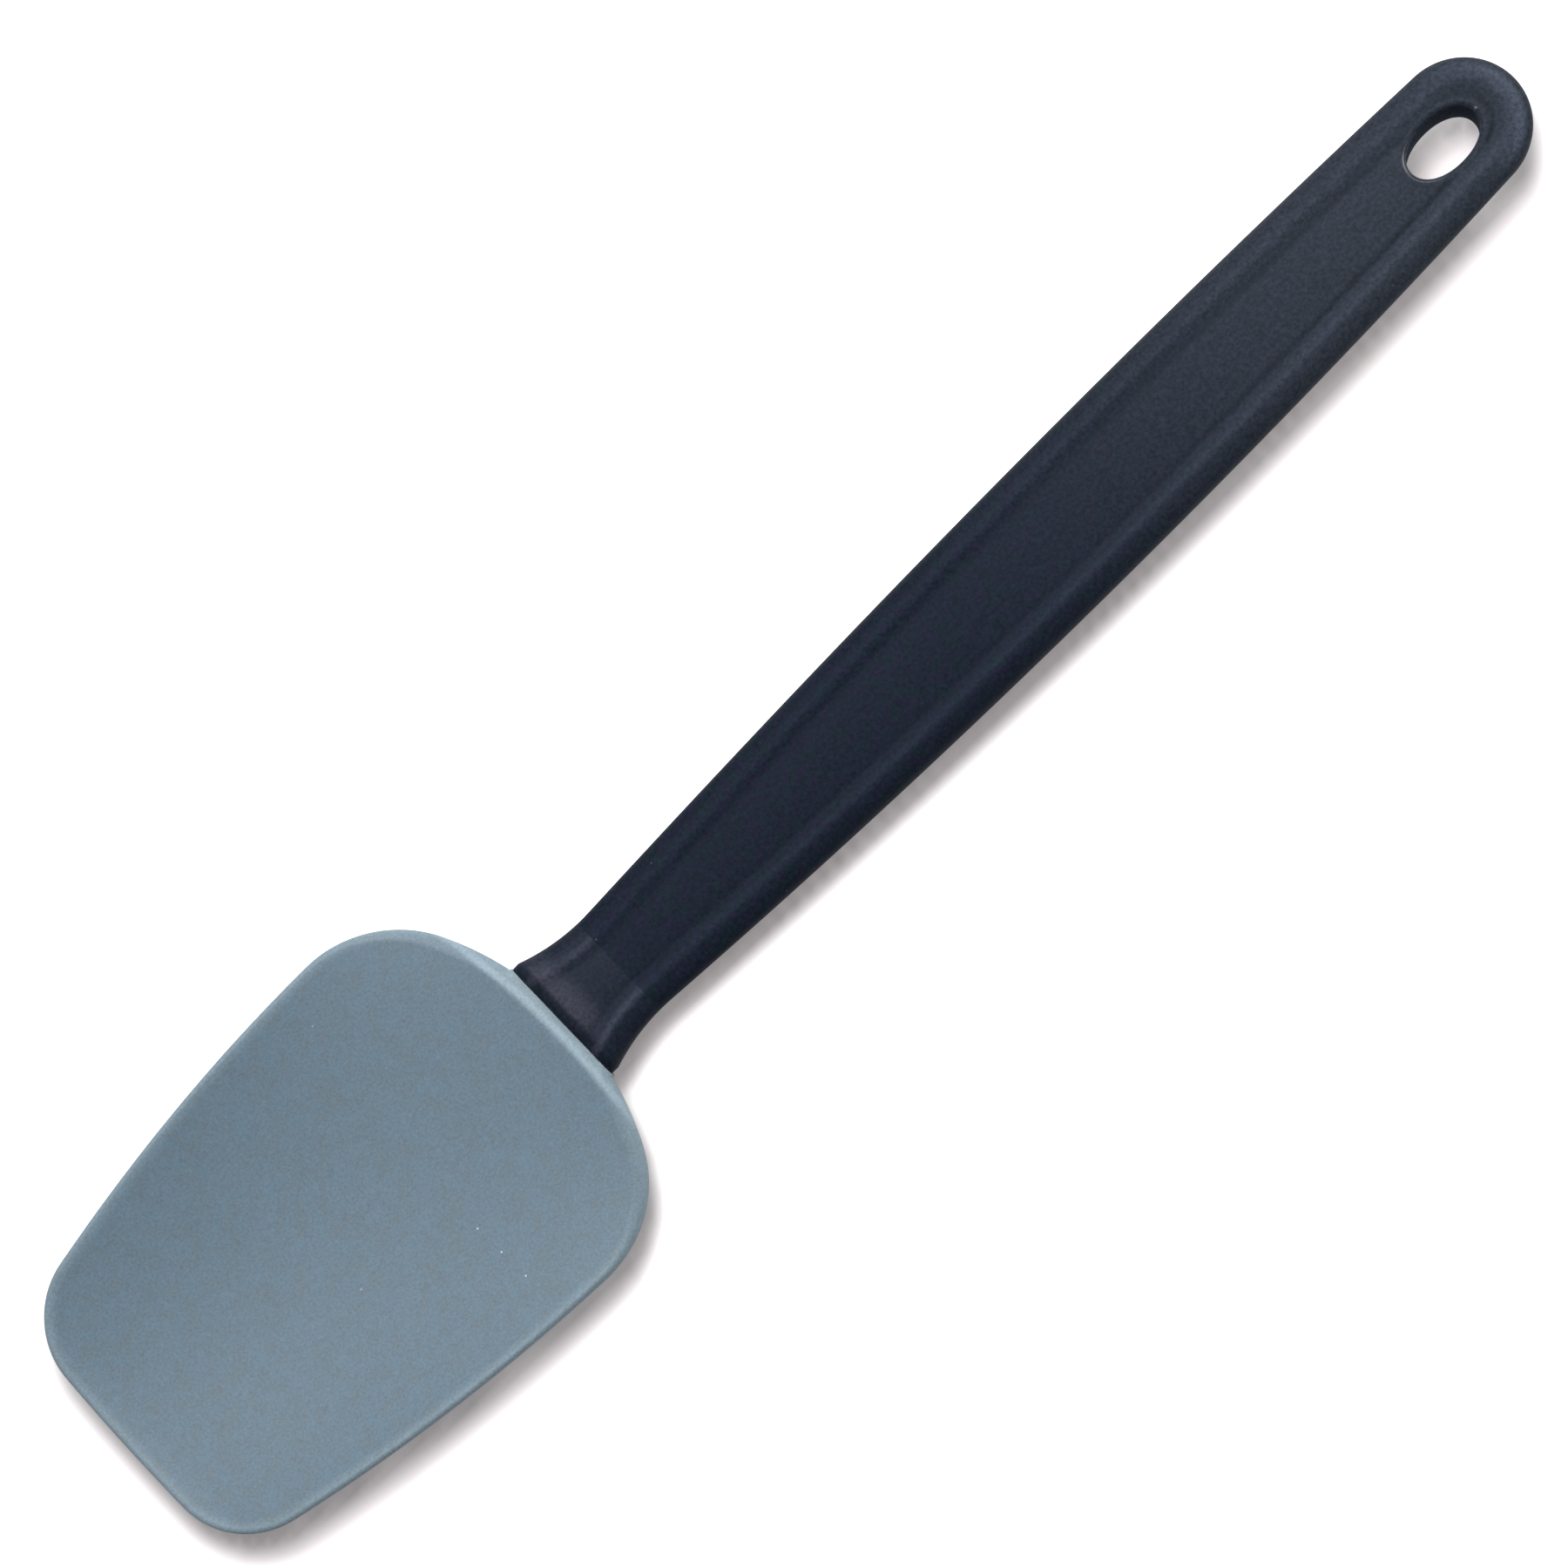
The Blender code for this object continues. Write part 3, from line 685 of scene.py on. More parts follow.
        # Layers: random hue, then painted sheen with the collar's lighter moulded mark, then the collar's
        # painted sheen and highlight
        colour = graph.layered(self.colour, [
            (graph.noise(self.hue).rise(*self.hue_band), self.cool),
            (far + collar * (self.collar_share + middle * self.middle_sheen_share), self.sheen_and_collar_mark_colour),
            (pale, self.collar_sheen_colour),
        ])
        colour = graph.layered(graph.tint(colour, gain), [
            (specks * self.specks.strength, self.speck_colour),
            (graph.near(self.gate_at, self.gate_reach) * self.gate_share, self.speck_colour),
        ])
        roughness = self.roughness + cloud.swing(self.cloud_roughness) + fine.swing(self.fine_roughness)
        roughness = roughness + collar * self.collar_roughness + specks * self.speck_roughness
        grain = fine * (1 - self.pit_share) + graph.cells(self.pit_scale) * self.pit_share
        # Painted light: the slot's walls are made paler
        graph.dress(shader, {
            "Base Color": graph.tint(colour, 1.0 + wall * self.wall_light_gain),
            "Roughness": roughness * (1.0 - wall) + wall * self.wall_roughness,
            "Normal": graph.moulded(grain, self.grain_depth, self.flash_turn, self.flash_height),
            "Specular IOR Level": self.shine,
            "Specular Tint": self.shine_colour,
            "Coat Weight": edge * self.coat,
            "Coat Roughness": self.coat_roughness,
            "Coat IOR": self.coat_ior,
        })
        return made


@dataclass(frozen=True)
class CoreFinish:
    """As-moulded nylon of the hidden core, with flow marks."""

    colour: Colour = (0.020, 0.022, 0.026)
    roughness: float = 0.5
    flow: Noise = Noise(130.0, 4.0, 0.6, (0.3, 2.5, 1.0))
    flow_tone: float = 0.4
    flow_roughness: float = 0.2
    fine: Noise = Noise(2400.0)
    fine_depth: float = 0.01 * MM

    def material(self) -> bpy.types.Material:
        """Builds the core's material.

        Returns:
            The material.
        """
        made, graph, shader = fresh_material("core_nylon_flow_marked")
        flow = graph.noise(self.flow)
        graph.dress(shader, {
            "Base Color": graph.tint(self.colour, 1.0 + flow.swing(self.flow_tone)),
            "Roughness": self.roughness + flow.swing(self.flow_roughness),
            "Normal": graph.bump(graph.noise(self.fine), self.fine_depth),
        })
        return made


@dataclass(frozen=True)
class TableFinish:
    """Plain white table that keeps the spoon's shadow near it and shows as pure white farther out.

    To the camera it glows a little everywhere and more beyond the cover band, which starts at the spoon's
    outline; that painted light hides the farther part of the real shadow. Inside the band its own colour is
    dimmed to the camera, a painted shadow that deepens the real one there.
    """

    colour: Colour = (0.96, 0.96, 0.96)
    roughness: float = 0.9
    specular: float = 0.2
    glow_colour: Colour = (1.0, 0.925, 0.935)
    glow: float = 0.188
    cover: float = 0.62
    painted_shadow: float = 0.65
    cover_band: Pair = (-0.8 * MM, 4.9 * MM)

    def material(self) -> bpy.types.Material:
        """Builds the table's material.

        Returns:
            The material.
        """
        made, graph, shader = fresh_material("pale_table")
        far = graph.attribute("from_spoon").rise(*self.cover_band)
        seen = graph.camera_ray()
        # Painted shadow: to the camera the colour is dimmed near the spoon, and the glow beyond the band is
        # painted light
        graph.dress(shader, {
            "Base Color": graph.tint(self.colour, 1.0 - seen * (1.0 - far) * self.painted_shadow),
            "Roughness": self.roughness,
            "Specular IOR Level": self.specular,
            "Emission Color": graph.tint(self.glow_colour, seen * (far * self.cover + self.glow)),
            "Emission Strength": 1.0,
        })
        return made


# Shapes

@dataclass(frozen=True)
class Seam:
    """Where the head meets the handle, and the sizes that both share."""

    length: float = 280 * MM
    at: float = 87.5 * MM
    slit: float = 0.04 * MM
    mid_height: float = 4.6 * MM
    thickness: float = 5.0 * MM
    collar_width: float = 21.1 * MM

    @property
    def top(self) -> float:
        """Height of the upper face at the seam."""
        return self.mid_height + self.thickness / 2

    def world(self, station: float, across: float, height: float) -> Vector:
        """A point given along, across and above the table, in the model's frame."""
        return Vector((station - self.length / 2, across, height))


@dataclass
class Rib:
    """Half of a closed rib, with how far round the edge each point is and how far in from the outline."""

    points: list[Vector] = field(default_factory=list)
    turns: list[float] = field(default_factory=list)
    insets: list[float] = field(default_factory=list)

    def add(self, point: Vector, turn: float, inset: float) -> None:
        """Adds a point.

        Args:
            point: The point in the model's frame.
            turn: Its share of the turn round the edge, 1 on top and -1 below.
            inset: Its distance in from the outline.
        """
        self.points.append(point)
        self.turns.append(turn)
        self.insets.append(inset)


def bridge(builder: bmesh.types.BMesh, loops: Sequence[Sequence[bmesh.types.BMVert]]) -> None:
    """Joins closed loops of points, one to the next, with four-sided faces.

    Args:
        builder: The mesh that holds the points.
        loops: The loops in order, all with as many points.
    """
    for one, other in zip(loops, loops[1:]):
        for index in range(len(one)):
            following = (index + 1) % len(one)
            builder.faces.new((one[index], one[following], other[following], other[index]))


def skin_ribs(name: str, ribs: Sequence[Rib]) -> bpy.types.Object:
    """A closed body through half ribs, which are mirrored across the spoon's middle plane.

    Args:
        name: The new object's name.
        ribs: The half ribs. The first is capped, and the last folds shut on the axis.

    Returns:
        The object, with its faces outwards and each point's turn and inset kept as attributes.
    """
    builder = bmesh.new()
    turn_layer = builder.verts.layers.float.new("rim_turn")
    inset_layer = builder.verts.layers.float.new("rim_inset")
    loops = []
    for rib in ribs:
        loop = []
        rows = list(zip(rib.points, rib.turns, rib.insets))
        for side in (Side.RIGHT, Side.LEFT):
            for point, turn, inset in rows if side is Side.RIGHT else rows[::-1]:
                vertex = builder.verts.new((point.x, point.y * side.value, point.z))
                vertex[turn_layer] = turn
                vertex[inset_layer] = inset
                loop.append(vertex)
        loops.append(loop)
    bridge(builder, loops)
    builder.faces.new(loops[0])
    bmesh.ops.remove_doubles(builder, verts=builder.verts, dist=WELD)
    wide = [face for face in builder.faces if len(face.verts) > 4]
    bmesh.ops.triangulate(builder, faces=wide)
    bmesh.ops.recalc_face_normals(builder, faces=builder.faces)
    return object_from(name, builder)


def placed(name: str, content: bpy.types.ID) -> bpy.types.Object:
    """Puts a mesh, lamp or camera into the scene.

    Args:
        name: The new object's name.
        content: What the object holds.

    Returns:
        The object, at the origin.
    """
    made = bpy.data.objects.new(name, content)
    bpy.context.scene.collection.objects.link(made)
    return made


def object_from(name: str, builder: bmesh.types.BMesh) -> bpy.types.Object:
    """Puts a finished bmesh into the scene.

    Args:
        name: The name of the new object and its mesh.
        builder: The bmesh, which is freed.

    Returns:
        The object.
    """
    mesh = bpy.data.meshes.new(name)
    builder.to_mesh(mesh)
    builder.free()
    return placed(name, mesh)


def shade(piece: bpy.types.Object, sharp_above: float) -> None:
    """Smooth shading, with edges sharper than an angle in degrees left sharp."""
    piece.data.shade_smooth()
    piece.data.set_sharp_from_angle(angle=math.radians(sharp_above))


def applied(piece: bpy.types.Object) -> bpy.types.Object:
    """Puts what the modifiers make into the piece's own mesh.

    Args:
        piece: A piece with modifiers.

    Returns:
        The same piece without them.
    """
    graph = bpy.context.evaluated_depsgraph_get()
    mesh = bpy.data.meshes.new_from_object(piece.evaluated_get(graph))
    piece.modifiers.clear()
    old = piece.data
    piece.data = mesh
    mesh.name = piece.name
    bpy.data.meshes.remove(old)
    return piece


@dataclass
class SiliconeHead:
    """The silicone skin: a shallow scoop with a thin tip, rounded rim and a butt end at the seam."""

    seam: Seam
    # The outline seen from above, made of arcs that touch
    width: float = 63.6 * MM
    back_radius: float = 48.4 * MM
    shoulder_radius: float = 18.5 * MM
    side_radius: float = 293 * MM
    tip_edge_radius: float = 240 * MM
    tip_corner_radius: float = 13.6 * MM
    tip_corner_spacing: float = 24.2 * MM
    stub_overhang: float = 0.35 * MM
    stub_length: float = 0.3 * MM
    # Heights and slopes of the rim, the floor and the back
    rim_tip: Pair = (11.5 * MM, -0.02)
    rim_seam_slope: float = -0.13
    floor_tip: Pair = (9.0 * MM, -0.15)
    crest_before_seam: float = 3.2 * MM
    crest: Pair = (7.4 * MM, 0.14)
    seam_fall_slope: float = -0.45
    back_tip: Pair = (8.1 * MM, -0.37)
    back_seam_slope: float = 0.11
    # Thickness, edges and the lip at the tip
    rim_thickness: float = 2.0 * MM
    tip_thickness: float = 1.2 * MM
    tip_taper: float = 15 * MM
    neck_blend: float = 22 * MM
    rim_rounding: float = 0.9 * MM
    neck_rounding: float = 2.4 * MM
    lip_rise: float = 0.5 * MM
    lip_length: float = 5 * MM
    belly_fullness: float = 0.8
    # Where the ribs fan out from, and the points of the mesh
    fan_at: float = 16 * MM
    arc_steps: tuple[int, ...] = (30, 26, 40, 22, 22)
    inner_steps: int = 34
    crowding: float = 1.5
    edge_steps: int = 9
    sharp_above: float = 50.0
    # Pillars through the core's holes, in a row on the axis and one to each side
    pillar_radius: float = 2.7 * MM
    pillar_height: float = 3.0 * MM
    pillar_first: float = 38 * MM
    pillar_pitch: float = 14 * MM
    pillar_row_spacing: float = 11 * MM
    pillar_counts: tuple[int, int] = (3, 2)

    @property
    def end(self) -> float:
        """Station of the flat end."""
        return self.seam.at - self.seam.slit / 2

    @property
    def half_stub(self) -> float:
        """Half width of the short straight stub that meets the collar."""
        return self.seam.collar_width / 2 + self.stub_overhang

    @property
    def stub_start(self) -> Vector:
        """Where the back arc runs into the stub."""
        return Vector((self.end - self.stub_length, self.half_stub))

    @property
    def back_centre(self) -> Vector:
        """Centre of the arc that closes the head towards the handle."""
        return Vector((self.stub_start.x - math.sqrt(self.back_radius**2 - self.half_stub**2), 0))

    @property
    def shoulder_centre(self) -> Vector:
        """Centre of the arc at the widest place.

        Returns:
            Its station and offset.
        """
        across = self.width / 2 - self.shoulder_radius
        along = math.sqrt((self.back_radius - self.shoulder_radius) ** 2 - across**2)
        return Vector((self.back_centre.x + along, across))

    @property
    def tip_corner_centre(self) -> Vector:
        """Centre of the arc at a corner of the tip.

        Returns:
            Its station and offset.
        """
        half = self.tip_corner_spacing / 2
        reach = self.tip_edge_radius - self.tip_corner_radius
        return Vector((self.tip_edge_radius - math.sqrt(reach**2 - half**2), half))

    @property
    def side_centre(self) -> Vector:
        """Centre of the long side arc, which the corner and the shoulder touch from the inside.

        Returns:
            Its station and offset.
        """
        tip = self.tip_corner_centre
        shoulder = self.shoulder_centre
        apart = (shoulder - tip).length
        to_tip = self.side_radius - self.tip_corner_radius
        to_shoulder = self.side_radius - self.shoulder_radius
        along = (to_tip**2 - to_shoulder**2 + apart**2) / (2 * apart)
        off = math.sqrt(to_tip**2 - along**2)
        way = (shoulder - tip) / apart
        return tip + way * along + Vector((way.y, -way.x)) * off

    def outline(self) -> list[tuple[Vector, Vector]]:
        """Runs along the outline from the seam round one side to the tip.

        Returns:
            Points and the way inwards at each.
        """
        tip = self.tip_corner_centre
        shoulder = self.shoulder_centre
        side = self.side_centre
        back = self.back_centre
        tip_edge = Vector((self.tip_edge_radius, 0))
        back_end = touch_point(back, shoulder, self.back_radius)
        side_start = touch_point(side, shoulder, self.side_radius)
        side_end = touch_point(side, tip, self.side_radius)
        tip_start = touch_point(tip_edge, tip, self.tip_edge_radius)
        corners = [self.stub_start, back_end, side_start, side_end, tip_start, Vector((0, 0))]
        centres = [
            (back, self.back_radius),
            (shoulder, self.shoulder_radius),
            (side, self.side_radius),
            (tip, self.tip_corner_radius),
            (tip_edge, self.tip_edge_radius),
        ]
        pairs = [(Vector((self.end, self.half_stub)), Vector((0, -1)))]
        for index, (centre, radius) in enumerate(centres):
            start = corners[index] - centre
            stop = corners[index + 1] - centre
            first = math.atan2(start.y, start.x)
            last = math.atan2(stop.y, stop.x)
            for step in range(self.arc_steps[index]):
                angle = first + (last - first) * step / self.arc_steps[index]
                outward = Vector((math.cos(angle), math.sin(angle)))
                pairs.append((centre + outward * radius, -outward))
        pairs.append((Vector((0, 0)), Vector((1, 0))))
        return pairs

    def side_half_width(self, station: float) -> float:
        """Half width if the sides ran on past the rounded corners."""
        centre = self.side_centre
        return centre.y + math.sqrt(self.side_radius**2 - (station - centre.x) ** 2)

    def plan_half_width(self, station: float) -> float:
        """Half width with the shoulders and the stub but without the rounding of the tip.

        Args:
            station: Where along the spoon.

        Returns:
            The half width.
        """
        shoulder = self.shoulder_centre
        back = self.back_centre
        if station <= shoulder.x:
            return self.side_half_width(station)
        if station <= touch_point(back, shoulder, self.back_radius).x:
            return shoulder.y + math.sqrt(self.shoulder_radius**2 - (station - shoulder.x) ** 2)
        arc = math.sqrt(max(self.back_radius**2 - (station - back.x) ** 2, 0))
        return max(self.half_stub, arc)

    def rim_height(self, station: float) -> float:
        """Height of the rim's top."""
        return curve_height(station, (0, *self.rim_tip), (self.end, self.seam.top, self.rim_seam_slope))

    def floor_height(self, station: float) -> float:
        """Height of the scoop's floor on the axis: it rises to a crest and then falls to the seam.

        Args:
            station: Where along the spoon.

        Returns:
            The height.
        """
        crest = (self.seam.at - self.crest_before_seam, *self.crest)
        if station <= crest[0]:
            return curve_height(station, (0, *self.floor_tip), crest)
        return curve_height(station, crest, (self.end, self.seam.top, self.seam_fall_slope))

    def face_height(self, station: float, across: float) -> float:
        """Height of the upper face: a trough across, with a lip that curls up along the tip.

        Args:
            station: Where along the spoon.
            across: Offset from the axis.

        Returns:
            The height.
        """
        floor = self.floor_height(station)
        trough = (self.rim_height(station) - floor) * (across / self.side_half_width(station)) ** 2
        return floor + trough + self.lip_rise * clamp(1 - station / self.lip_length) ** 2

    def neck_share(self, station: float) -> float:
        """0 along the scoop and 1 at the seam, over the length in which the rim grows into the neck."""
        return smooth(1 - (self.end - station) / self.neck_blend)

    def thickness(self, station: float, across: float) -> float:
        """Thickness under the face, from the edge's at the rim to the back's curve on the axis.

        Args:
            station: Where along the spoon.
            across: Offset from the axis.

        Returns:
            The thickness.
        """
        back = curve_height(
            station,
            (0, *self.back_tip),
            (self.end, self.seam.top - self.seam.thickness, self.back_seam_slope),
        )
        middle = self.face_height(station, 0) - back
        tip_part = self.tip_thickness
        tip_part += (self.rim_thickness - self.tip_thickness) * smooth(station / self.tip_taper)
        edge = tip_part + (self.seam.thickness - tip_part) * self.neck_share(station)
        inside = clamp(1 - (across / self.plan_half_width(station)) ** 2)
        return edge + (middle - edge) * inside**self.belly_fullness

    def rib(self, point: Vector, normal: Vector) -> Rib:
        """Half of a closed rib, whose edge starts with the trough's own slope, so that there is no crease.

        Args:
            point: Its place on the outline.
            normal: The way inwards there.

        Returns:
            Points from the axis over the top, round the rim and back below.
        """
        made = Rib()
        rounding = self.rim_rounding + (self.neck_rounding - self.rim_rounding) * self.neck_share(point.x)
        inner = point + normal * rounding
        further = inner + normal * rounding
        spine = Vector((max(point.x, self.fan_at), 0))
        top = self.face_height(inner.x, inner.y)
        rise = top - self.face_height(further.x, further.y)
        half = self.thickness(inner.x, inner.y) / 2
        shares = [1 - (1 - step / self.inner_steps) ** self.crowding for step in range(self.inner_steps)]
        inside = [spine.lerp(inner, share) for share in shares]
        for at in inside:
            made.add(self.seam.world(at.x, at.y, self.face_height(at.x, at.y)), 1, (at - point).length)
        for step in range(2 * self.edge_steps + 1):
            share = 1 - step / self.edge_steps
            turn = math.pi / 2 * share
            at = point + normal * rounding * (1 - math.cos(turn))
            height = top + rise * math.cos(turn) - half + half * math.sin(turn)
            made.add(self.seam.world(at.x, at.y, height), share, (at - point).length)
        for at in inside[::-1]:
            low = self.face_height(at.x, at.y) - self.thickness(at.x, at.y)
            made.add(self.seam.world(at.x, at.y, max(low, 0)), -1, (at - point).length)
        return made

    def build_skin(self, finish: bpy.types.Material) -> bpy.types.Object:
        """Builds the skin and lets it stand for its CAD solid.

        Args:
            finish: The silicone's material.

        Returns:
            The skin.
        """
        ribs = [self.rib(point, normal) for point, normal in self.outline()]
        skin = skin_ribs("silicone_head_skin", ribs)
        skin.data.materials.append(finish)
        shade(skin, self.sharp_above)
        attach(skin, "root")
        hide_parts("silicone_head")
        return skin

    def pillar_places(self) -> list[Vector]:
        """Finds the silicone pillars that run through the core's anchor holes.

        Returns:
            The middle of each: first those on the axis, then the side rows, which stand between them.
        """
        on_axis, beside = self.pillar_counts
        stations = [(self.pillar_first + self.pillar_pitch * step, 0.0) for step in range(on_axis)]
        for side in Side:
            for step in range(beside):
                along = self.pillar_first + self.pillar_pitch * (step + 0.5)
                stations.append((along, side.value * self.pillar_row_spacing))
        places = []
        for station, across in stations:
            height = self.face_height(station, across) - self.thickness(station, across) / 2
            places.append(self.seam.world(station, across, height))
        return places

    def build_pillars(self, finish: bpy.types.Material) -> bpy.types.Object:
        """Builds the pillars with Geometry Nodes, as round posts set on a point each.

        Args:
            finish: The silicone's material.

        Returns:
            The pillars, as one piece.
        """
        mesh = bpy.data.meshes.new("anchor_pillars")
        mesh.from_pydata(self.pillar_places(), [], [])
        points = placed("anchor_pillars", mesh)
        PillarTree(finish).put_on(points, {"Radius": self.pillar_radius, "Height": self.pillar_height})
        pillars = applied(points)
        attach(pillars, "root")
        return pillars

    def build(self, finish: bpy.types.Material) -> list[bpy.types.Object]:
        """Builds the whole head."""
        return [self.build_skin(finish), self.build_pillars(finish)]


class PillarTree:
    """A Geometry Nodes tree that stands a round post on each point."""

    sides = 28

    def __init__(self, finish: bpy.types.Material) -> None:
        """Builds the tree with its named inputs.

        Args:
            finish: The posts' material.
        """
        self.tree = bpy.data.node_groups.new("posts_on_points", "GeometryNodeTree")
        face = self.tree.interface
        face.new_socket("Geometry", in_out="INPUT", socket_type="NodeSocketGeometry")
        for name in ("Radius", "Height"):
            face.new_socket(name, in_out="INPUT", socket_type="NodeSocketFloat")
        face.new_socket("Geometry", in_out="OUTPUT", socket_type="NodeSocketGeometry")
        graph = Graph(self.tree)
        given = graph.node("NodeGroupInput")
        post = graph.node(
            "GeometryNodeMeshCylinder",
            {"fill_type": "NGON"},
            {"Vertices": self.sides, "Radius": given.outputs["Radius"], "Depth": given.outputs["Height"]},
        )
        points = graph.node("GeometryNodeMeshToPoints", None, {"Mesh": given.outputs["Geometry"]})
        feeds = {"Points": points.outputs["Points"], "Instance": post.outputs["Mesh"]}
        stood = graph.node("GeometryNodeInstanceOnPoints", None, feeds)
        real = graph.node("GeometryNodeRealizeInstances", None, {0: stood.outputs["Instances"]})
        feeds = {"Geometry": real.outputs[0], "Material": finish}
        dressed = graph.node("GeometryNodeSetMaterial", None, feeds)
        graph.node("NodeGroupOutput", None, {"Geometry": dressed.outputs[0]})

    def put_on(self, piece: bpy.types.Object, sizes: dict[str, float]) -> None:
        """Puts the tree on a piece.

        Args:
            piece: An object whose vertices are the places.
            sizes: The tree's sizes by input name.
        """
        modifier = piece.modifiers.new("posts", "NODES")
        modifier.node_group = self.tree
        for item in self.tree.interface.items_tree:
            if item.in_out == "INPUT" and item.name in sizes:
                modifier[item.identifier] = sizes[item.name]


@dataclass
class Handle:
    """The hard handle: a flared collar, a neck, two rims round a crowned panel and a hang slot."""

    seam: Seam
    # The outline seen from above
    width: float = 23.1 * MM
    widest_past_seam: float = 111.5 * MM
    neck_width: float = 17.5 * MM
    neck_past_seam: float = 11.8 * MM
    neck_radius: float = 32 * MM
    # Height of the middle, and thickness over the rims
    seam_slope: float = -0.04
    end_knot: Pair = (11.6 * MM, 0.075)
    collar_thickness: float = 7.8 * MM
    collar_edge: float = 2.0 * MM
    neck_thickness: float = 6.6 * MM
    neck_thickness_slope: float = 0.03
    thickest_past_seam: float = 82.5 * MM
    thickness: float = 8.8 * MM
    end_thickness: Pair = (7.2 * MM, -0.02)
    # The rounded sides, the grooves beside the rims and the panel's crown
    side_rounding: float = 3.3 * MM
    widest_line_drop: float = 0.65
    groove_width: float = 2.2 * MM
    recess: float = 0.3 * MM
    crown: float = 0.26 * MM
    collar_recess_share: float = 0.6
    recess_past_seam: float = 4.5 * MM
    recess_fade: float = 43 * MM
    # The hang slot, and the nub that the mould's gate leaves on its edge
    slot_length: float = 12.4 * MM
    slot_width: float = 7.8 * MM
    slot_from_end: float = 13.9 * MM
    slot_rounding: float = 0.8 * MM
    slot_fullness: float = 2.1
    slot_margin: float = 1.2
    gate_across: float = 0.1 * MM
    gate_radius: float = 0.34 * MM
    gate_shape: Triple = (0.8, 1.25, 0.9)
    gate_reach: float = 0.6
    gate_sink: float = 0.55
    gate_detail: int = 3
    gate_sharp_above: float = 60.0
    # The points of the mesh
    sharp_above: float = 40.0
    collar_steps: int = 8
    flare_steps: int = 14
    grip_steps: int = 170
    end_steps: int = 40
    panel_steps: int = 14
    groove_steps: int = 9
    edge_steps: int = 10
    slot_steps: int = 120
    slot_edge_steps: int = 7

    @property
    def start(self) -> float:
        """Station of the collar's flat face."""
        return self.seam.at + self.seam.slit / 2

    @property
    def neck_at(self) -> float:
        """Station of the narrowest place."""
        return self.seam.at + self.neck_past_seam

    @property
    def side_radius(self) -> float:
        """Radius of the grip's long side arc, which the neck's hollow arc touches from outside.

        Returns:
            The radius.
        """
        narrowing = (self.width - self.neck_width) / 2
        along = self.widest_past_seam - self.neck_past_seam
        return (along**2 + narrowing**2) / (2 * narrowing) - self.neck_radius

    @property
    def side_centre(self) -> Vector:
        """Centre of that arc."""
        return Vector((self.seam.at + self.widest_past_seam, self.width / 2 - self.side_radius))

    @property
    def end_radius(self) -> float:
        """Radius of the round end, which closes the two side arcs smoothly."""
        ahead = self.seam.length - self.side_centre.x
        return (self.side_radius**2 - ahead**2 - self.side_centre.y**2) / (2 * (self.side_radius - ahead))

    @property
    def end_centre(self) -> Vector:
        """Centre of the round end."""
        return Vector((self.seam.length - self.end_radius, 0))

    @property
    def slot_middle(self) -> Vector:
        """The middle of the hang slot."""
        station = self.seam.length - self.slot_from_end
        return self.seam.world(station, 0, self.mid_height(station))

    @property
    def rim_band(self) -> float:
        """Width of a rim, from the outline to the bottom of its groove."""
        return self.side_rounding + self.groove_width

    def half_width(self, station: float) -> float:
        """Half width, without the round end: the collar, the hollow neck and the long side arc.

        Args:
            station: Where along the spoon.

        Returns:
            The half width.
        """
        side = self.side_centre
        neck = Vector((self.neck_at, self.neck_width / 2 + self.neck_radius))
        meeting = neck.x + (side.x - neck.x) * self.neck_radius / (self.neck_radius + self.side_radius)
        if station >= meeting:
            return side.y + math.sqrt(self.side_radius**2 - (station - side.x) ** 2)
        flare = neck.y - math.sqrt(max(self.neck_radius**2 - (station - neck.x) ** 2, 0))
        return min(self.seam.collar_width / 2, flare)

    def mid_height(self, station: float) -> float:
        """Height of the handle's middle."""
        seam = (self.seam.at, self.seam.mid_height, self.seam_slope)
        return curve_height(station, seam, (self.seam.length, *self.end_knot))

    def half_thickness(self, station: float) -> float:
        """Half thickness at the rims: a rounded front edge, the collar's flare, then a long belly.

        Args:
            station: Where along the spoon.

        Returns:
            The half thickness.
        """
        neck = (self.neck_at, self.neck_thickness, self.neck_thickness_slope)
        thickest = (self.seam.at + self.thickest_past_seam, self.thickness, 0)
        if station >= thickest[0]:
            return curve_height(station, thickest, (self.seam.length, *self.end_thickness)) / 2
        if station >= self.neck_at:
            return curve_height(station, neck, thickest) / 2
        edge_end = self.start + self.collar_edge
        if station >= edge_end:
            rise = (self.neck_at - station) / (self.neck_at - edge_end)
            return (self.neck_thickness + (self.collar_thickness - self.neck_thickness) * rise) / 2
        lean = 1 - math.sqrt(clamp(1 - ((edge_end - station) / self.collar_edge) ** 2))
        return (self.collar_thickness - (self.collar_thickness - self.seam.thickness) * lean) / 2

    def side_height(self, station: float, turn: float) -> float:
        """Height on the rounded side, whose widest line is nearer the top.

        Args:
            station: Where along the spoon.
            turn: The turn up from that line, in radians.

        Returns:
            The height.
        """
        half = self.half_thickness(station)
        drop = self.widest_line_drop if turn > 0 else 2 - self.widest_line_drop
        return self.mid_height(station) + half * (1 - self.widest_line_drop + drop * math.sin(turn))

    def recess_depth(self, station: float) -> float:
        """Depth of the grooves beside the rims, which are shallower at the collar."""
        grip_part = smooth((station - self.seam.at - self.recess_past_seam) / self.recess_fade)
        return self.recess * (self.collar_recess_share + (1 - self.collar_recess_share) * grip_part)

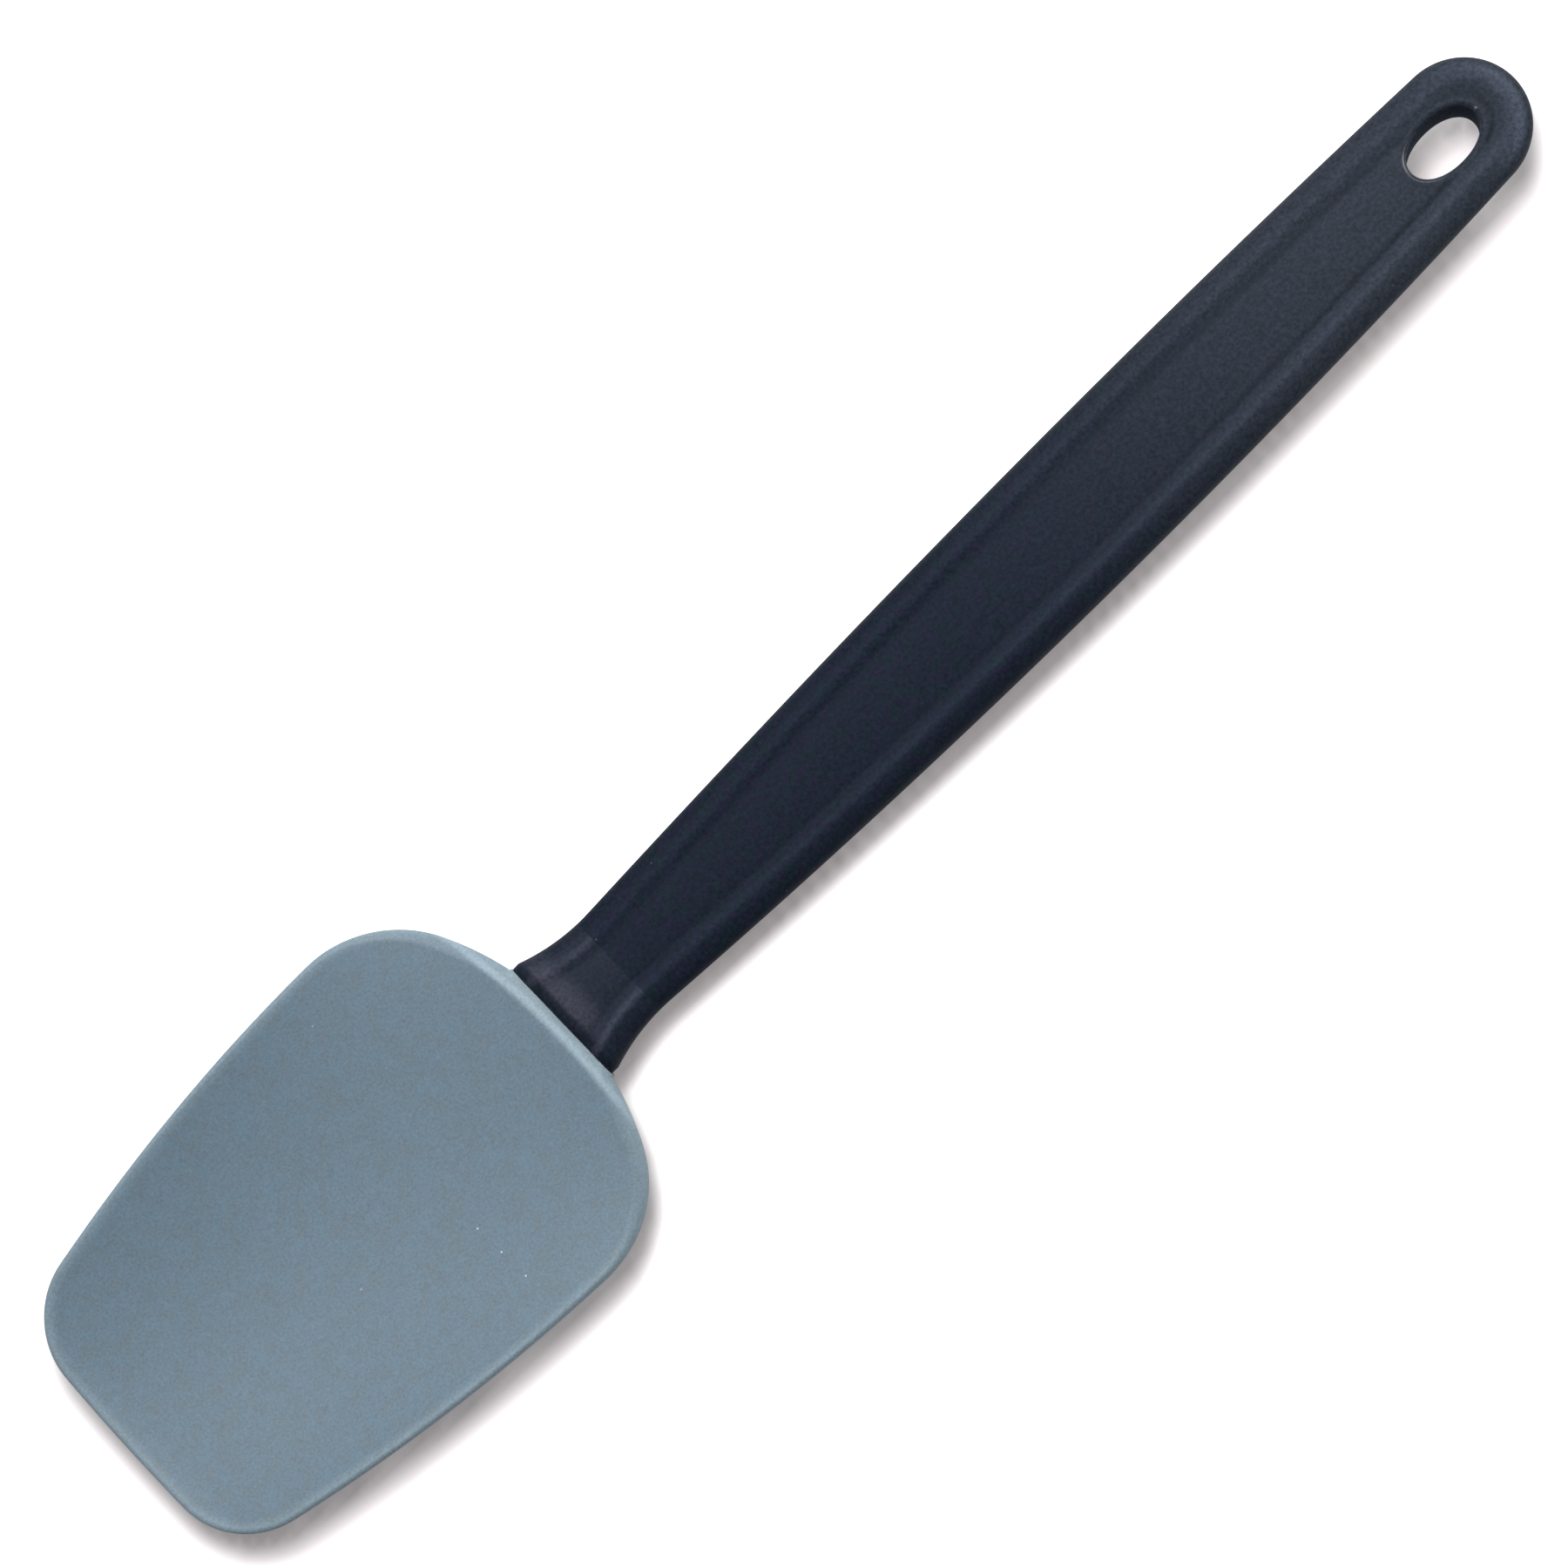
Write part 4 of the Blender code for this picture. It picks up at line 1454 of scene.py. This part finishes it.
    def surface_offset(self, station: float, inset: float, reach: float) -> float:
        """Height of the face over the middle, past the side's rounding.

        Args:
            station: Where along the spoon.
            inset: Distance from the outline.
            reach: Distance from the outline to the axis.

        Returns:
            The height over the handle's middle.
        """
        rim = self.half_thickness(station)
        recess = self.recess_depth(station)
        if inset <= self.rim_band:
            return rim - recess * smooth((inset - self.side_rounding) / self.groove_width)
        off_axis = (reach - inset) / (reach - self.rim_band)
        return rim - recess + self.crown * recess / self.recess * (1 - off_axis**2)

    def outline(self) -> list[tuple[Vector, Vector]]:
        """Runs along the outline from the collar's face along one side and round the end.

        Returns:
            Points and the point on the axis that belongs to each.
        """
        edge_end = self.start + self.collar_edge
        turn_start = touch_point(self.side_centre, self.end_centre, self.side_radius)
        stations = []
        for step in range(self.collar_steps):
            turn = math.pi / 2 * step / self.collar_steps
            stations.append(self.start + self.collar_edge * (1 - math.cos(turn)))
        flare = self.neck_at - edge_end
        stations += [edge_end + flare * step / self.flare_steps for step in range(self.flare_steps)]
        grip = turn_start.x - self.neck_at
        stations += [self.neck_at + grip * step / self.grip_steps for step in range(self.grip_steps)]
        pairs = [(Vector((at, self.half_width(at))), Vector((at, 0))) for at in stations]
        first = math.atan2(turn_start.y, turn_start.x - self.end_centre.x)
        for step in range(self.end_steps + 1):
            angle = first * (1 - step / self.end_steps)
            rim = self.end_centre + Vector((math.cos(angle), math.sin(angle))) * self.end_radius
            pairs.append((rim, self.end_centre))
        return pairs

    def rib(self, point: Vector, spine: Vector) -> Rib:
        """Half of a closed rib.

        Args:
            point: Its place on the outline.
            spine: Its place on the axis.

        Returns:
            Points over the panel, rim and rounded side, and back below.
        """
        made = Rib()
        reach = (point - spine).length
        inward = (spine - point) / reach
        band = self.rim_band
        insets = [band + (reach - band) * (1 - step / self.panel_steps) for step in range(self.panel_steps)]
        insets += [band - self.groove_width * step / self.groove_steps for step in range(self.groove_steps)]
        flat = []
        for inset in insets:
            at = point + inward * inset
            flat.append((at, inset, self.surface_offset(at.x, inset, reach)))
        for at, inset, offset in flat:
            made.add(self.seam.world(at.x, at.y, self.mid_height(at.x) + offset), 1, inset)
        for step in range(2 * self.edge_steps + 1):
            share = 1 - step / self.edge_steps
            turn = math.pi / 2 * share
            inset = self.side_rounding * (1 - math.cos(turn))
            at = point + inward * inset
            made.add(self.seam.world(at.x, at.y, max(self.side_height(at.x, turn), 0)), share, inset)
        for at, inset, offset in flat[::-1]:
            made.add(self.seam.world(at.x, at.y, max(self.mid_height(at.x) - offset, 0)), -1, inset)
        return made

    def slot_point(self, angle: float, outset: float) -> Pair:
        """A point of the slot's plan, which is a slightly squared oval.

        Args:
            angle: Where round the oval, in radians.
            outset: How far the oval is grown outwards.

        Returns:
            Its station and offset.
        """
        power = 2 / self.slot_fullness
        cosine = math.cos(angle)
        sine = math.sin(angle)
        along = math.copysign(abs(cosine) ** power, cosine) * (self.slot_length / 2 + outset)
        across = math.copysign(abs(sine) ** power, sine) * (self.slot_width / 2 + outset)
        return self.seam.length - self.slot_from_end + along, across

    def face_offset(self, station: float, across: float) -> float:
        """Height of the face over the middle, near the axis.

        Args:
            station: Where along the spoon.
            across: Offset from the axis.

        Returns:
            The height over the handle's middle.
        """
        reach = self.half_width(min(station, self.end_centre.x))
        off_axis = abs(across)
        if station > self.end_centre.x:
            off_axis = math.hypot(station - self.end_centre.x, across)
        return self.surface_offset(station, reach - off_axis, reach)

    def slot_space(self) -> bpy.types.Object:
        """The slot's space, which flares at both faces so that the edges come out rounded.

        Returns:
            The space as a closed body.
        """
        flare = [(self.slot_rounding, 2 * self.slot_rounding)]
        for step in range(self.slot_edge_steps + 1):
            turn = math.pi / 2 * step / self.slot_edge_steps
            outset = self.slot_rounding * (1 - math.sin(turn))
            flare.append((outset, -self.slot_rounding * (1 - math.cos(turn))))
        rows = [(Face.UPPER, *level) for level in flare] + [(Face.LOWER, *level) for level in flare[::-1]]
        builder = bmesh.new()
        loops = []
        for face, outset, above in rows:
            loop = []
            for step in range(self.slot_steps):
                station, across = self.slot_point(2 * math.pi * step / self.slot_steps, outset)
                offset = face.value * (self.face_offset(station, across) + above)
                place = self.seam.world(station, across, self.mid_height(station) + offset)
                loop.append(builder.verts.new(place))
            loops.append(loop)
        bridge(builder, loops)
        builder.faces.new(loops[0])
        builder.faces.new(loops[-1])
        bmesh.ops.recalc_face_normals(builder, faces=builder.faces)
        return object_from("slot_space", builder)

    def clear_slot_marks(self, shell: bpy.types.Object) -> None:
        """Gives the slot's own faces the inset and turn of the panel, so that no rim's tone shows there.

        Args:
            shell: The handle's body with its slot.
        """
        middle = self.slot_middle
        margin = self.slot_margin * self.slot_rounding
        for name, value in (("rim_inset", 2 * self.rim_band), ("rim_turn", 1.0)):
            layer = shell.data.attributes[name].data
            for vertex in shell.data.vertices:
                along = (vertex.co.x - middle.x) / (self.slot_length / 2 + margin)
                across = vertex.co.y / (self.slot_width / 2 + margin)
                if along**2 + across**2 < 1:
                    layer[vertex.index].value = value

    def build_shell(self, finish: bpy.types.Material) -> bpy.types.Object:
        """Builds the handle's body with its slot and lets it stand for its CAD solid.

        Args:
            finish: The handle's material.

        Returns:
            The body.
        """
        shell = skin_ribs("handle_shell", [self.rib(point, spine) for point, spine in self.outline()])
        space = self.slot_space()
        cut = shell.modifiers.new("hang slot", "BOOLEAN")
        cut.operation = "DIFFERENCE"
        cut.solver = "EXACT"
        cut.object = space
        shell = applied(shell)
        bpy.data.objects.remove(space, do_unlink=True)
        self.clear_slot_marks(shell)
        shell.data.materials.clear()
        shell.data.materials.append(finish)
        shade(shell, self.sharp_above)
        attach(shell, "root")
        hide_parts("handle")
        return shell

    def build_gate(self, finish: bpy.types.Material) -> bpy.types.Object:
        """Builds the small nub that the mould's gate leaves on the slot's edge, towards the handle's end.

        Args:
            finish: The handle's material.

        Returns:
            The nub.
        """
        out = self.slot_length / 2 + self.slot_rounding * self.gate_reach
        station = self.seam.length - self.slot_from_end + out
        top = self.mid_height(station) + self.face_offset(station, self.gate_across)
        centre = self.seam.world(station, self.gate_across, top - self.gate_radius * self.gate_sink)
        builder = bmesh.new()
        bmesh.ops.create_icosphere(builder, subdivisions=self.gate_detail, radius=self.gate_radius)
        bmesh.ops.scale(builder, vec=self.gate_shape, verts=builder.verts)
        bmesh.ops.translate(builder, vec=centre, verts=builder.verts)
        nub = object_from("gate_nub", builder)
        nub.data.materials.append(finish)
        shade(nub, self.gate_sharp_above)
        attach(nub, "root")
        return nub

    def build(self, finish: bpy.types.Material) -> list[bpy.types.Object]:
        """Builds the whole handle."""
        return [self.build_shell(finish), self.build_gate(finish)]


@dataclass
class Core:
    """The stiff core, whose CAD solid has the right shape and stays."""

    node: bpy.types.Object

    def dress(self, finish: bpy.types.Material) -> list[bpy.types.Object]:
        """Gives the core its finish.

        Args:
            finish: The core's material.

        Returns:
            The core's one piece.
        """
        self.node.data.materials.clear()
        self.node.data.materials.append(finish)
        return [self.node]


# The table, lights and camera

@dataclass(frozen=True)
class Softbox:
    """A square area lamp that looks at a point near the spoon. Its level is the light it brings there."""

    name: str
    towards: Triple
    distance: float
    size: float
    level: float
    colour: Colour = (1.0, 1.0, 1.0)

    def build(self, target: Vector) -> None:
        """Adds the lamp.

        Args:
            target: The point that it looks at.
        """
        lamp = bpy.data.lights.new(self.name, "AREA")
        lamp.shape = "SQUARE"
        lamp.size = self.size
        lamp.energy = self.level * 4 * math.pi * self.distance**2
        lamp.color = self.colour
        holder = placed(self.name, lamp)
        way = Vector(self.towards).normalized()
        holder.location = target + way * self.distance
        holder.rotation_mode = "QUATERNION"
        holder.rotation_quaternion = way.to_track_quat("Z", "Y")


@dataclass(frozen=True)
class Studio:
    """The pale table, soft lamps and the photograph's camera."""

    # The camera, with its angles in degrees
    azimuth: float = 0.19
    elevation: float = 78.99
    roll: float = -44.26
    target: Triple = (-0.0055, 0.0020, 0.006)
    distance: float = 0.6714
    lens: float = 106.48
    sensor: float = 36.0
    clip: Pair = (0.01, 10.0)
    # The table, with the half sizes of its finer middle and the outline that its painted shadow is drawn from
    table_size: float = 3.0
    near_table: Pair = (0.156, 0.051)
    table_step: float = 1.5 * MM
    shadow_shift: Pair = (-1.0 * MM, -2.5 * MM)
    shadow_inset: float = 1.5 * MM
    hole_reach: Pair = (7.7 * MM, 5.4 * MM)
    # The light
    world_level: float = 0.18
    softboxes: tuple[Softbox, ...] = (
        Softbox("key_softbox", (0.22, 0.50, 1.0), 0.9, 0.50, 0.80),
        Softbox("end_softbox", (1.0, -0.15, 0.60), 0.45, 0.20, 0.16),
    )

    @property
    def eye(self) -> Vector:
        """Where the camera stands."""
        return Vector(self.target) - self.forward * self.distance

    @property
    def forward(self) -> Vector:
        """The way the camera looks: azimuth 0 is along +Y."""
        turn, tilt = math.radians(self.azimuth), math.radians(self.elevation)
        return Vector((math.sin(turn) * math.cos(tilt), math.cos(turn) * math.cos(tilt), -math.sin(tilt)))

    def on_table(self, point: Vector) -> Vector:
        """Where the camera sees a point against the table."""
        eye = self.eye
        return eye + (point - eye) * (eye.z / (eye.z - point.z))

    def build_table(self, skins: Sequence[bpy.types.Object], hole: Vector) -> None:
        """Adds the table that the spoon lies on.

        Each of its points keeps the distance from the spoon's outline as seen against the table, which is
        drawn in a little and shifted, so that the painted shadow is soft and falls to one side.

        Args:
            skins: The pieces that the camera sees.
            hole: The middle of the hang slot, through which the table shows.
        """
        shadow = KDTree(sum(len(skin.data.vertices) for skin in skins))
        shift = Vector((*self.shadow_shift, 0))
        for skin in skins:
            insets = skin.data.attributes["rim_inset"].data
            for vertex in skin.data.vertices:
                off = vertex.co - hole
                at_hole = math.hypot(off.x / self.hole_reach[0], off.y / self.hole_reach[1]) < 1
                if insets[vertex.index].value > self.shadow_inset and not at_hole:
                    shadow.insert(self.on_table(vertex.co) + shift, 0)
        shadow.balance()
        lines = []
        for reach in self.near_table:
            steps = round(2 * reach / self.table_step)
            near = [-reach + self.table_step * step for step in range(steps + 1)]
            lines.append([-self.table_size / 2, *near, self.table_size / 2])
        builder = bmesh.new()
        layer = builder.verts.layers.float.new("from_spoon")
        rows = []
        for x in lines[0]:
            row = []
            for y in lines[1]:
                vertex = builder.verts.new((x, y, 0))
                vertex[layer] = shadow.find(vertex.co)[2]
                row.append(vertex)
            rows.append(row)
        for one, other in zip(rows, rows[1:]):
            for index in range(len(one) - 1):
                builder.faces.new((one[index], other[index], other[index + 1], one[index + 1]))
        table = object_from("pale_table", builder)
        table.data.materials.append(TableFinish().material())

    def build_world(self) -> None:
        """Sets an even pale world, which the camera itself sees as white."""
        world = bpy.data.worlds.new("pale_room")
        world.use_nodes = True
        bpy.context.scene.world = world
        graph = Graph(world.node_tree)
        strength = graph.camera_ray() * (1.0 - self.world_level) + self.world_level
        graph.dress(world.node_tree.nodes["Background"], {"Color": (1.0, 1.0, 1.0), "Strength": strength})

    def build_camera(self) -> None:
        """Adds the camera at the photograph's angle, rolled about its own axis."""
        lens = bpy.data.cameras.new("photo_camera")
        lens.lens = self.lens
        lens.sensor_width = self.sensor
        lens.clip_start, lens.clip_end = self.clip
        camera = placed("photo_camera", lens)
        turn, roll = math.radians(self.azimuth), math.radians(self.roll)
        level = Vector((math.cos(turn), -math.sin(turn), 0))
        upright = level.cross(self.forward)
        right = level * math.cos(roll) + upright * math.sin(roll)
        up = upright * math.cos(roll) - level * math.sin(roll)
        pose = Matrix((right, up, -self.forward)).transposed().to_4x4()
        camera.matrix_world = Matrix.Translation(self.eye) @ pose
        bpy.context.scene.camera = camera

    def build(self, skins: Sequence[bpy.types.Object], hole: Vector) -> None:
        """Builds the table, the world, the lamps and the camera.

        Args:
            skins: The pieces that the camera sees.
            hole: The middle of the hang slot.
        """
        self.build_table(skins, hole)
        self.build_world()
        for softbox in self.softboxes:
            softbox.build(Vector(self.target))
        self.build_camera()
        bpy.context.scene.view_settings.view_transform = "Standard"


def corners(box: tuple[Vector, Vector]) -> list[list[float]]:
    """A box's two corners as plain lists."""
    return [list(corner) for corner in box]


def main() -> None:
    """Builds the spoon's looks in order and reports each piece."""
    logging.basicConfig(level=logging.INFO, format="%(message)s")
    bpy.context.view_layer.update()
    seam = Seam()
    silicone = SiliconeFinish().material()
    nylon = HandleFinish().material()
    groups = {
        "head": SiliconeHead(seam).build(silicone),
        "handle": Handle(seam).build(nylon),
        "core": Core(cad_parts["core"]).dress(CoreFinish().material()),
    }
    for group, pieces in groups.items():
        for piece in pieces:
            LOG.info("%s: %s, %d faces", group, piece.name, len(piece.data.polygons))
    head, handle = groups["head"][0], groups["handle"][0]
    Studio().build((head, handle), Handle(seam).slot_middle)


if __name__ == "__main__":
    main()
